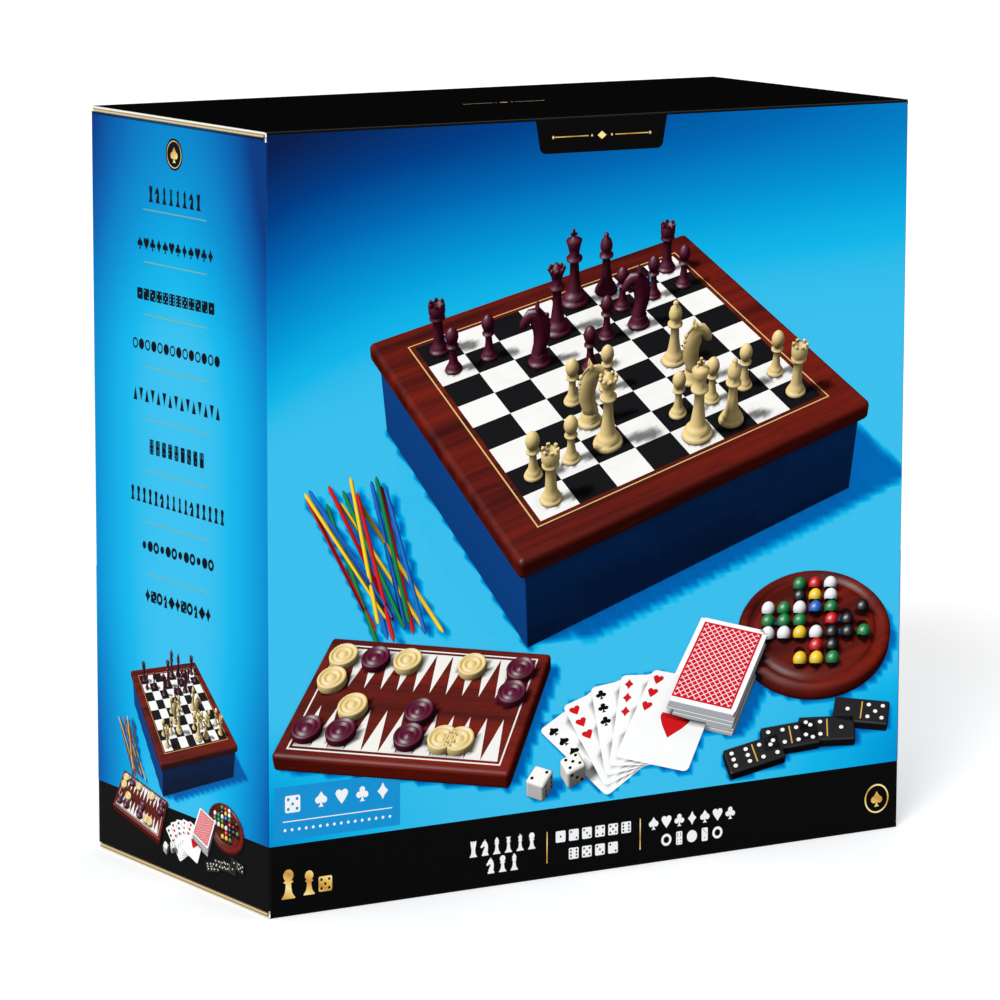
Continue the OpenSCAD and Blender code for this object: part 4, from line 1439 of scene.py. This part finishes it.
def picture_ink(name, colour_of):
    """Printed picture: colour_of(sheet) times its baked shade, plus its baked shine"""

    def fill(sheet):
        light = sheet.axes(sheet.attribute("light").outputs["Color"])
        shade = sheet.new("ShaderNodeCombineColor")
        for socket in shade.inputs:
            sheet.put(socket, light[0])
        lit = sheet.mix(1.0, colour_of(sheet), shade.outputs[0], "MULTIPLY")
        return flat_print(sheet, sheet.mix(light[1], lit, (1.0, 1.0, 1.0)))

    return material(name, fill, specular=PRINT_SHINE)


def own_place(sheet):
    return sheet.attribute("own").outputs["Vector"]


def grained(sheet, dark=ink(52, 9, 8), light=ink(122, 30, 16)):
    place = sheet.stretch(own_place(sheet), (MM, MM, MM))
    return sheet.use(WOOD_GRAIN, Point=place, Dark=dark, Light=light).outputs["Color"]


def on_picture(pattern, thick, *sizes):
    """A board's pattern on the upper side of a solid of the picture"""

    def colour_of(sheet):
        x, y, z = sheet.axes(own_place(sheet))
        return pattern(sheet, x, y, z.above(thick - 1.0), grained(sheet), *sizes)

    return colour_of


def card_back(sheet):
    x, y, _ = sheet.axes(own_place(sheet))
    return latticed(sheet, x, y, CARD[0] / 2, CARD[1] / 2)


# Pieces of the picture: the chequerboard, the box under it, the tray of points, a card,
# the deck's layers and a stick's radius and half length
BOARD_SIDE = 8 * SQUARE + 66.0
BOARD_THICK = 16.0
BOX_SIDE = BOARD_SIDE - 14
BOX_HIGH = 66
TRAY = (180.0, 112.0, 14.0)
CARD = (58.0, 84.0)
CARD_CORNER = 4.0
DECK_LAYERS = 6
DECK_LAYER = 3.3
STICK_R = 1.7
STICK_HALF = 95
PICTURE_INKS = {
    "plain": picture_ink("picture_ink", lambda s: s.attribute("tint").outputs["Color"]),
    "wood": picture_ink("picture_wood_ink", grained),
    "chequer": picture_ink("picture_chequer_ink", on_picture(chequered, BOARD_THICK, SQUARE)),
    "points": picture_ink(
        "picture_points_ink", on_picture(pointed, TRAY[2], TRAY[0] / 2 - 12, TRAY[1] / 2 - 10)
    ),
    "back": picture_ink("picture_back_ink", card_back),
}

PICTURE_NAVY = ink(16, 74, 150)
PICTURE_CREAM = ink(246, 216, 146)

# A middle game, far rank first; capitals are the light pieces
GAME = [
    "r...kb.r",
    "pp.q.ppp",
    "..n.pn..",
    "...p....",
    "..PP.B..",
    "..N..N..",
    "PPQ.PPPP",
    "R...KB.R",
]


def chess_on_board(still, at, turn):
    """The board's pieces, each kind made once"""
    spin = Matrix.Rotation(math.radians(turn), 3, "Z")
    made = {kind: crowned(kind).scaled(height) for kind, height in HEIGHTS.items()}
    for row, rank in enumerate(GAME):
        for column, letter in enumerate(rank):
            if letter == ".":
                continue
            place = spin @ Vector(((column - 3.5) * SQUARE, (3.5 - row) * SQUARE, 0)) + Vector(at)
            light = letter.isupper()
            face = turn + (170 if light else -20)
            piece = made[letter.lower()].placed(place, turn=face)
            still.add(piece, PICTURE_CREAM if light else BURGUNDY, gloss=0.6)


def pips_on(still, number, at, turn, pitch, r, colour, tip=0.0, lean=0.0, over=2):
    """Round pips on a flat face of a solid"""
    dot = shape_leaf(arc(0, 0, r, 0, 330, 11))
    for x, y in PIPS[number]:
        local = dot.placed((x * pitch, y * pitch, 0))
        still.add(local.placed(at, turn, tip, lean), colour, over=over)


def die_on(still, x, y, turn, size, top, front):
    still.add(block(size, size, size, 2.2, 4).placed((x, y, 0), turn), IVORY, gloss=0.5)
    pips_on(still, top, (x, y, size + 0.1), turn, size * 0.26, size * 0.085, BLACK_INK)
    for side, number in ((0, front), (90, 7 - top if front == top else (front % 6) + 1)):
        a = math.radians(turn + side - 90)
        at = (x + math.cos(a) * (size / 2 + 0.1), y + math.sin(a) * (size / 2 + 0.1), size / 2)
        pips_on(still, number, at, turn + side, size * 0.26, size * 0.085, BLACK_INK, tip=90)


def domino_on(still, x, y, turn, first, second):
    length, width, thick = DOMINO
    still.add(
        block(length, width, thick, 1.4, 6).placed((x, y, 0), turn), ink(26, 25, 28), gloss=0.5
    )
    a = math.radians(turn)
    face = thick + 0.1
    for number, side in ((first, -1), (second, 1)):
        reach = side * length / 4
        at = (x + math.cos(a) * reach, y + math.sin(a) * reach, face)
        pips_on(still, number, at, turn, *DOMINO_PIPS, IVORY)
    half_w, half_l = DOMINO_BAR
    bar = shape_leaf([(-half_w, -half_l), (half_w, -half_l), (half_w, half_l), (-half_w, half_l)])
    still.add(bar.placed((x, y, face), turn), ink(214, 178, 84), over=2)


def round_board_on(still, x, y, r):
    """Round board with a cross of hollows, most of them holding a marble"""
    rim = [
        (0, 0), (r - 2, 0), (r, 2), (r, 9), (r - 3, 12), (r - 7, 12), (r - 8.5, 10),
        (r - 11, 8.5), (r - 13.5, 10), (r - 15, 12),
    ]
    rim += [((r - 15) * k, 12) for k in (0.9, 0.8, 0.7, 0.6, 0.5, 0.4, 0.3, 0.2, 0.1, 0)]
    still.add(turned(rim, 72).placed((x, y, 0), 20), (1, 1, 1), "wood", gloss=0.25)
    pitch = r * 0.205
    hollow = shape_leaf(arc(0, 0, pitch * 0.36, 0, 345, 15))
    marble = ball(pitch * 0.43)
    random.seed(11)
    for i in range(-3, 4):
        for j in range(-3, 4):
            if abs(i) > 1 and abs(j) > 1:
                continue
            a, b = x + i * pitch + j * 1.5, y + j * pitch - i * 1.5
            still.add(hollow.placed((a, b, 12.05)), ink(40, 8, 8), over=1)
            if (i, j) in ((0, 0), (2, 1), (-1, -2), (3, 0)):
                continue
            still.add(marble.placed((a, b, 11)), random.choice(PALETTE), gloss=1.0)


def fan_on(still, x, y, count, turn):
    """Fan of cards, face up, with pips in their corners"""
    card = leaf(*CARD, CARD_CORNER)
    suits = ["spade", "heart", "club", "diamond", "heart"]
    for i in range(count):
        angle = turn + (i - (count - 1) / 2) * -15
        a = math.radians(angle + 90)
        cx, cy = x + math.cos(a) * CARD[1] * 0.62, y + math.sin(a) * CARD[1] * 0.62
        height = 0.6 + i * 0.8
        over = i * 4
        still.add(card.placed((cx, cy, height), angle), ink(248, 248, 247), over=over)
        kind = suits[i % len(suits)]
        colour = RED if kind in ("heart", "diamond") else BLACK_INK
        for dx, dy, size in ((-22, 33, 9), (-22, 20, 9), (-22, 7, 9), (4, -4, 26)):
            pip = shape_leaf(suit(kind, size)).placed((dx, dy, 0))
            still.add(pip.placed((cx, cy, height + 0.1), angle), colour, over=over + 2)


def deck_on(still, x, y, turn):
    """Deck with a latticed back on top and its leaves showing at the sides"""
    cards = block(*CARD, DECK_LAYER, 0.5, 8)
    for layer in range(DECK_LAYERS):
        shift = math.sin(layer * 2.1) * 0.7
        at = (x + shift, y, layer * DECK_LAYER)
        still.add(cards.placed(at, turn), ink(238, 240, 244))
    top = leaf(*CARD, CARD_CORNER, 4.0)
    at = (x, y, DECK_LAYERS * DECK_LAYER + 0.1)
    still.add(top.placed(at, turn), (1, 1, 1), "back", over=2)


def stick_on(still, x, y, z, turn, colour):
    tip, end, taper = 0.6, STICK_HALF, STICK_HALF - 5
    half = [(0, end), (tip, end), (STICK_R, taper)]
    rod = turned([(r, -z) for r, z in half] + half[::-1], 8)
    still.add(rod.placed((x, y, z), turn, lean=90), colour, gloss=0.4)


def compose():
    """The games laid out round a chequerboard that stands on a navy box"""
    still = StillLife()
    turn = 27.0
    at = (12.0, 96.0)
    box = block(BOX_SIDE, BOX_SIDE, BOX_HIGH, 0.8, 9)
    still.add(box.placed((*at, 0), turn), PICTURE_NAVY, gloss=0.25)
    board = block(BOARD_SIDE, BOARD_SIDE, BOARD_THICK, 5, 3.6)
    still.add(board.placed((*at, BOX_HIGH), turn), (1, 1, 1), "chequer", gloss=0.25)
    chess_on_board(still, (*at, BOX_HIGH + BOARD_THICK), turn)
    tray_at, tray_turn = (-140, -181, 0), -14
    tray = block(*TRAY, 3, 3.4).placed(tray_at, tray_turn)
    still.add(tray, (1, 1, 1), "points", gloss=0.25)
    spin = Matrix.Rotation(math.radians(tray_turn), 3, "Z")
    piece = draughtsman(11.0, 6.0)
    column = (TRAY[0] - 24) / 12
    for lane, rank, light in (
        (0, 3, 1), (0, 2, 1), (2, 3, 0), (4, 3, 1), (6, -3, 0), (6, -2, 0), (8, -3, 1),
        (11, 3, 0), (11, 2, 0), (0, -3, 0), (2, -3, 0), (2, -2, 1), (8, 3, 1), (9, -3, 1),
    ):
        x = (lane - 5.5) * column
        y = math.copysign(34 - (3 - abs(rank)) * 22.5, rank)
        place = spin @ Vector((x, y, TRAY[2])) + Vector(tray_at)
        still.add(piece.placed(place, x), PICTURE_CREAM if light else BURGUNDY, gloss=0.5)
    round_board_on(still, 176, -150, 64)
    fan_on(still, 34, -264, 5, 8)
    deck_on(still, 92, -186, -24)
    die_on(still, -20, -254, 25, 15, 5, 3)
    die_on(still, -44, -262, 62, 15, 2, 6)
    for i, (first, second) in enumerate(((6, 4), (4, 4), (4, 1), (1, 5))):
        domino_on(still, 116 + i * 29, -260 + i * 7 + (i % 2) * 5, 12 - i * 9, first, second)
    random.seed(5)
    for i in range(15):
        colour = PALETTE[(0, 1, 2, 4)[i % 4]]
        stick_on(
            still, -226 + i * 4.0, -8 + random.uniform(-12, 12), 1.8 + (i % 3) * 3.2,
            112 + random.uniform(-9, 9), colour,
        )
    still.light()
    return still


FRONT_SIZE = 0.66
FRONT_MIDDLE = (189.0, 206.0)


def ground_grid(still, size, middle, width, high, step):
    """Grid over the lower part of a face, and the picture's light on the ground there"""
    columns = round(width / step)
    rows = round((BAND_TOP - high) / step)
    u = np.linspace(0.6, width - 0.6, columns + 1)
    v = np.linspace(high, BAND_TOP - 0.3, rows + 1)
    grid_u, grid_v = [g.ravel() for g in np.meshgrid(u, v)]
    across = (grid_u - middle[0]) / (size * EYE_FAR)
    up = -(grid_v - middle[1]) / (size * EYE_FAR)
    ways = np.column_stack([across, up, -np.ones(len(up))]) @ still.view
    ground = still.eye - ways * (still.eye[2] / ways[:, 2])[:, None]
    normals = np.tile([0.0, 0.0, 1.0], (len(ground), 1))
    light = still.lit(ground, normals, 0.0, hide=False)[:, :2]
    corners = np.column_stack([grid_u, grid_v, np.full(len(grid_u), GROUND_LIFT)])
    return corners, grid_faces(rows, columns), light


def ground_ink(name, darkness, axis, half_width):
    """A face's blue with the picture's shadows"""

    def fill(sheet):
        place = sheet.axes(sheet.point(), 1 / MM)
        deep = darkness(place[axis] / (half_width / MM), CARTON_H / MM - place[2])
        shade = sheet.axes(sheet.attribute("light").outputs["Color"])[0].least(1.0)
        kept = 1.0 - (1.0 - shade) * 0.6
        blue = sheet.use(BLUE_PRINT, Darkness=1.0 - (1.0 - deep) * kept).outputs[0]
        return flat_print(sheet, blue)

    return material(name, fill, specular=PRINT_SHINE)


def print_pictures():
    """The still life large on the front and back, and small at the foot of both sides"""
    still = compose()
    side_size, side_middle = FRONT_SIZE * 0.37, (86.0, 318.0)
    large = ground_grid(still, FRONT_SIZE, FRONT_MIDDLE, CARTON_W / MM, 40.0, 3.2)
    small = ground_grid(still, side_size, side_middle, CARTON_D / MM, 232.0, 1.8)
    wide, deep = CARTON_W / 2, CARTON_D / 2
    side_ink = ground_ink("side_ground_ink", side_darkness, 1, deep)
    front_ink = ground_ink("front_ground_ink", front_darkness, 0, wide)
    back_ink = ground_ink("back_ground_ink", back_darkness, 0, wide)
    for face, size, middle, (flat, faces, light), made in (
        ("front", FRONT_SIZE, FRONT_MIDDLE, large, front_ink),
        ("back", FRONT_SIZE, FRONT_MIDDLE, large, back_ink),
        ("left", side_size, side_middle, small, side_ink),
        ("right", side_size, side_middle, small, side_ink),
    ):
        mesh_on_face(f"{face}_picture_ground", face, flat, faces, made, light=light)
        still.flattened(f"{face}_picture", face, size, middle)


print_pictures()


# ---------------------------------------------------------------- small printed marks


def silhouette(kind):
    """Side view of a chess piece as a flat outline, one unit tall"""
    if kind == "n":
        return [
            (-0.22, 0), (0.24, 0), (0.24, 0.09), (0.17, 0.15), (0.2, 0.4), (0.19, 0.6),
            (0.12, 0.78), (0.03, 0.88), (0.0, 0.99), (-0.06, 0.89), (-0.16, 0.82), (-0.22, 0.7),
            (-0.32, 0.58), (-0.29, 0.49), (-0.2, 0.5), (-0.1, 0.56), (-0.01, 0.54), (-0.1, 0.36),
            (-0.17, 0.22), (-0.17, 0.15), (-0.22, 0.09),
        ]
    side = [(r * 1.15 + (0.012 if r else 0), z) for r, z in OUTLINES[kind]]
    right = side[1:-1] if side[-1][0] == 0 else side[1:]
    top = [side[-1]]
    if kind == "k":
        arm, bar = 0.022, 0.07
        right = right[:-1] + [(arm, 0.91), (arm, 0.935), (bar, 0.935), (bar, 0.975), (arm, 0.975)]
        top = [(arm, 1.0), (-arm, 1.0)]
    if kind == "r":
        right = right[:8] + [(0.19, 0.78), (0.2, 0.96), (0.11, 0.96), (0.11, 0.9), (0.05, 0.9)]
        right += [(0.05, 0.96)]
        top = []
    if kind == "q":
        right = right[:13] + [(0.1, 0.82), (0.19, 0.97), (0.09, 0.9), (0.05, 0.97)]
        top = [(0.0, 0.92)]
    return right + top + [(-x, y) for x, y in reversed(right)]


def ringed(r, inner):
    return arc(0, 0, r, 0, 350, 35), [arc(0, 0, inner, 0, 345, 23)]


def mark(name):
    """A printed mark about one unit tall round its middle: (outline, holes)"""
    kind, _, value = name.partition(":")
    if kind == "chess":
        return [(x, y - 0.5) for x, y in silhouette(value)], []
    if kind == "suit":
        return suit(value, 0.95), []
    if kind in ("die", "tile"):
        r = 0.1
        w, h, size = (0.42, 0.42, 0.08) if kind == "die" else (0.27, 0.5, 0.042)
        corners = ((w - r, h - r, 0), (r - w, h - r, 90), (r - w, r - h, 180), (w - r, r - h, 270))
        outline = [p for x, y, a in corners for p in arc(x, y, r, a, a + 90, 4)]
        if kind == "die":
            spots = [(x * 0.24, y * 0.24) for x, y in PIPS[int(value)]]
        else:
            spots = [
                (x * 0.13, y * 0.11 + s * 0.25)
                for s, n in ((1, value[0]), (-1, value[1]))
                for x, y in PIPS[int(n)]
            ]
        return outline, [arc(x, y, size, 0, 330, 11) for x, y in spots]
    if kind == "ring":
        return ringed(0.45, float(value))
    if kind == "dot":
        return arc(0, 0, float(value), 0, 345, 23), []
    if kind == "point":
        return [(-0.3, -0.5), (0.3, -0.5), (0, 0.5)], []
    if kind == "down":
        return [(0.3, 0.5), (-0.3, 0.5), (0, -0.5)], []
    if kind == "lozenge":
        return [(-0.5, 0), (0, -0.5), (0.5, 0), (0, 0.5)], []
    return [(-0.5, -0.5), (0.5, -0.5), (0.5, 0.5), (-0.5, 0.5)], []


class InkLayer:
    """Flat printed marks of one ink on one face, joined into one piece"""

    def __init__(self, name, face, made, level=0.03):
        self.name, self.face, self.made, self.level = name, face, made, level
        self.flat, self.faces = [], []

    def stamp(self, name, u, v, w, h=None):
        """Prints a mark, w by h millimetres for one unit, with its middle at u, v"""
        h = w if h is None else h
        outline, holes = mark(name)
        loops = [[Vector((x, y, 0)) for x, y in loop] for loop in [outline, *holes]]
        points = [p for loop in loops for p in loop]
        start = len(self.flat)
        self.flat += [(u + p.x * w, v - p.y * h, self.level) for p in points]
        for a, b, c in geometry.tessellate_polygon(loops):
            area = (points[b] - points[a]).cross(points[c] - points[a]).z
            if abs(area) > 1e-7:
                loop = (a, b, c) if area > 0 else (a, c, b)
                self.faces.append(tuple(start + i for i in loop))

    def row(self, names, u, v, pitch, size):
        """Prints a centred row of marks"""
        for i, name in enumerate(names):
            self.stamp(name, u + (i - (len(names) - 1) / 2) * pitch, v, size)

    def rule(self, u, v, w, h):
        self.stamp("bar", u, v, w, h)

    def done(self, body="carton", slot="printed_board"):
        mesh_on_face(self.name, self.face, self.flat, self.faces, self.made, body=body, slot=slot)


def flat_ink(name, colour, specular=PRINT_SHINE, metallic=0.0):
    """Solid ink or foil with a fine grain"""

    def fill(sheet):
        return flat_print(sheet, colour(sheet) if callable(colour) else colour)

    return material(name, fill, specular=specular, metallic=metallic)


def foil_painted_sheen(sheet):
    """Gold that shifts from deep to pale in slanting bands: a painted reflection on the foil"""
    x, y, z = sheet.axes(sheet.point(), 1 / MM)
    # Painted reflection: slanting bands of deep and pale gold
    wave = abs(((x + y) * 0.45 + z).math("PINGPONG", 7.0)) / 7.0
    stops = [(0.0, ink(196, 140, 52)), (0.45, ink(230, 188, 90)), (1.0, ink(252, 232, 158))]
    return sheet.ramp(wave, stops)


BLACK_MARK = flat_ink("black_mark_ink", ink(6, 12, 24))
WHITE_MARK = flat_ink("white_mark_ink", ink(246, 247, 248))
OLIVE_MARK = flat_ink("olive_mark_ink", ink(134, 178, 142))
GOLD_MARK = flat_ink("gold_foil", foil_painted_sheen, specular=0.5, metallic=0.35)
TINT_PATCH = flat_ink("tint_patch_ink", ink(24, 146, 212))



def marks_of(kind, values):
    """Names of several marks of one kind"""
    return [f"{kind}:{value}" for value in values]


SUITS = marks_of("suit", ("spade", "heart", "club", "diamond"))

# Rows of marks down a side panel, one game a row: marks, pitch and size
SIDE_ROWS = [
    (marks_of("chess", "rnbqkbnr"), 6.9, 8.4),
    (SUITS * 3, 6.5, 6.4),
    (marks_of("die", "123456654321"), 6.6, 6.8),
    (["ring:0.3", "dot:0.45"] * 7, 6.4, 6.0),
    (["point", "down"] * 7 + ["point"], 6.0, 6.6),
    (marks_of("tile", ("64", "55", "31", "42", "65", "10", "33", "21", "60")), 6.4, 7.4),
    (marks_of("chess", "pppprnbqkbnrpppp"), 6.1, 7.6),
    (["dot:0.3", "dot:0.42", "ring:0.2"] * 4, 6.2, 6.4),
    (["suit:diamond", "die:3", "ring:0.2", "chess:n", "lozenge"] * 2 + ["suit:diamond"], 6.2, 6.8),
]
# The rows and the rules under them: how far down the first is, and the step to the next
SIDE_FIRST = 38.6
SIDE_STEP = 25.03
RULE_FIRST = 46.8
RULE_STEP = 25.87


def ornament(layer, u, v, reach):
    """A rule, a lozenge between dots, and a rule"""
    for side in (-1, 1):
        layer.rule(u + side * reach * 0.62, v, reach * 0.7, 0.45)
        layer.stamp("lozenge", u + side * reach * 0.97, v, 1.8)
        layer.stamp("dot:0.5", u + side * reach * 0.2, v, 1.1)
    layer.stamp("lozenge", u, v, 5.2, 4.0)


def print_side(face):
    black = InkLayer(f"{face}_black_marks", face, BLACK_MARK)
    olive = InkLayer(f"{face}_olive_rules", face, OLIVE_MARK)
    middle = 86.5
    for i, (names, pitch, size) in enumerate(SIDE_ROWS):
        black.row(names, middle, SIDE_FIRST + i * SIDE_STEP, pitch, size)
        if i < len(SIDE_ROWS) - 1:
            olive.rule(middle, RULE_FIRST + i * RULE_STEP, 64.0, 0.45)
    badge = (middle, 17.6)
    black.stamp("dot:0.5", *badge, 17.0, 15.6)
    gold = InkLayer(f"{face}_badge_marks", face, GOLD_MARK, 0.06)
    gold.stamp("ring:0.42", *badge, 16.4, 15.0)
    gold.stamp("suit:spade", middle, 17.8, 8.6, 8.0)
    for layer in (black, olive, gold):
        layer.done()


def print_band(face):
    """White marks and gold ornaments on the black band"""
    white = InkLayer(f"{face}_white_marks", face, WHITE_MARK)
    gold = InkLayer(f"{face}_gold_marks", face, GOLD_MARK)
    rings = ["ring:0.25", "tile:64", "dot:0.45", "tile:31", "ring:0.25"]
    groups = [
        (132.0, marks_of("chess", "rnbqkp"), marks_of("chess", "npb")),
        (185.5, marks_of("die", "123456"), marks_of("die", "6532")),
        (245.0, SUITS + SUITS[:3], rings),
    ]
    for u, upper, lower in groups:
        for names, v in ((upper, 357.4), (lower, 366.8)):
            size, pitch = (8.4, 6.8) if names[0].startswith("chess") else (6.9, 7.8)
            white.row(names, u, v, pitch, size)
    for u in (158.0, 213.5):
        gold.rule(u, 362.0, 0.6, 16.0)
    gold.stamp("chess:p", 10.5, 361.8, 14.5)
    gold.stamp("chess:p", 22.0, 362.4, 12.0)
    gold.stamp("die:5", 31.0, 364.0, 9.0)
    gold.stamp("ring:0.4", 360.5, 361.0, 17.0)
    gold.stamp("suit:spade", 360.5, 361.2, 8.5)
    if face == "front":
        ornament(gold, (TAB_X[0] + TAB_X[1]) / 2, 9.6, 29.0)
    for layer in (white, gold):
        layer.done()


def print_patch():
    """Tinted patch on the front with a row of white marks"""
    patch = InkLayer("front_tint_patch", "front", TINT_PATCH, 0.05)
    patch.rule(38.0, 327.0, 70.0, 26.0)
    patch.done()
    marks = InkLayer("front_patch_marks", "front", WHITE_MARK, 0.08)
    marks.row(SUITS, 46.0, 322.0, 11.5, 8.0)
    marks.stamp("die:5", 13.0, 322.6, 10.0)
    marks.rule(38.0, 331.0, 61.0, 0.5)
    marks.row(["dot:0.5"] * 16, 38.0, 335.2, 3.9, 1.5)
    marks.done()


def print_top():
    gold = InkLayer("top_gold_marks", "top", GOLD_MARK)
    ornament(gold, CARTON_W / MM / 2, CARTON_D / MM / 2, 24.0)
    gold.done("top_outer", "black_printed_board")


print_side("left")
print_side("right")
print_band("front")
print_band("back")
print_patch()
print_top()


# ---------------------------------------------------------------- stage, light, camera

FLOOR_SIZE = 6.0
FLOOR_TONE = (0.86, 0.86, 0.86)
FLOOR_GLOW = 0.36
SKY_LEVEL = 0.58
SUN_FROM = (-0.62, -0.56, 0.55)
SUN_STRENGTH = 1.75
SUN_ANGLE = 16

# The photograph's view: degrees to the left of the front, up and rolled, lens and place
CAMERA_TURN = 32.176
CAMERA_RISE = 9.316
CAMERA_ROLL = 0.166
CAMERA_LENS = 177.76
CAMERA_AT = (-1.32055, -2.09636, 0.58200)


def seen_share(tree, *others):
    """1 to the camera and to rays of the other kinds named, 0 to the rest"""
    path = tree.nodes.new("ShaderNodeLightPath")
    share = Field(tree, path.outputs["Is Camera Ray"])
    for kind in others:
        share = share.most(Field(tree, path.outputs[f"Is {kind} Ray"]))
    return share


def make_floor():
    """Pale floor that keeps the object's shadow and is white to the camera elsewhere"""
    mesh = bpy.data.meshes.new("floor")
    sides = ((-1, -1), (1, -1), (1, 1), (-1, 1))
    corners = [(x * FLOOR_SIZE, y * FLOOR_SIZE, 0) for x, y in sides]
    mesh.from_pydata(corners, [], [(0, 1, 2, 3)])
    floor = bpy.data.objects.new("floor", mesh)
    bpy.context.scene.collection.objects.link(floor)
    made = bpy.data.materials.new("floor_paper")
    made.use_nodes = True
    tree = made.node_tree
    shader = tree.nodes["Principled BSDF"]
    shader.inputs["Base Color"].default_value = (*FLOOR_TONE, 1)
    shader.inputs["Roughness"].default_value = 0.9
    shader.inputs["Specular IOR Level"].default_value = 0.0
    glow = tree.nodes.new("ShaderNodeEmission")
    shown = seen_share(tree, "Glossy") * FLOOR_GLOW
    tree.links.new(shown.socket, glow.inputs["Strength"])
    both = tree.nodes.new("ShaderNodeAddShader")
    tree.links.new(shader.outputs[0], both.inputs[0])
    tree.links.new(glow.outputs[0], both.inputs[1])
    tree.links.new(both.outputs[0], tree.nodes["Material Output"].inputs["Surface"])
    mesh.materials.append(made)


def make_world(level):
    """Even white light at a plain level, and plain white behind the object"""
    world = bpy.data.worlds.new("studio")
    bpy.context.scene.world = world
    world.use_nodes = True
    tree = world.node_tree
    back = tree.nodes["Background"]
    back.inputs["Color"].default_value = (1, 1, 1, 1)
    strength = seen_share(tree, "Glossy", "Transmission") * (1.0 - level) + level
    tree.links.new(strength.socket, back.inputs["Strength"])


def add_sun(name, towards, strength, angle):
    """Soft distant lamp; towards is where it shines from"""
    lamp = bpy.data.lights.new(name, "SUN")
    lamp.energy = strength
    lamp.angle = math.radians(angle)
    sun = bpy.data.objects.new(name, lamp)
    sun.rotation_euler = Vector(towards).to_track_quat("Z", "Y").to_euler()
    bpy.context.scene.collection.objects.link(sun)


def add_camera():
    """The photograph's view of the carton"""
    turn, rise, roll = [math.radians(a) for a in (CAMERA_TURN, CAMERA_RISE, CAMERA_ROLL)]
    ahead = Vector(
        (math.sin(turn) * math.cos(rise), math.cos(turn) * math.cos(rise), -math.sin(rise))
    )
    right = ahead.cross(Vector((0, 0, 1))).normalized()
    up = right.cross(ahead)
    level_right = right * math.cos(roll) + up * math.sin(roll)
    level_up = up * math.cos(roll) - right * math.sin(roll)
    camera = bpy.data.objects.new("camera", bpy.data.cameras.new("camera"))
    camera.data.sensor_width = 36
    camera.data.lens = CAMERA_LENS
    camera.data.clip_end = 50
    axes = Matrix((level_right, level_up, -ahead)).transposed().to_4x4()
    camera.matrix_world = Matrix.Translation(CAMERA_AT) @ axes
    bpy.context.scene.collection.objects.link(camera)
    bpy.context.scene.camera = camera


make_floor()
make_world(SKY_LEVEL)
add_sun("key", SUN_FROM, SUN_STRENGTH, SUN_ANGLE)
add_camera()
bpy.context.scene.view_settings.view_transform = "Standard"
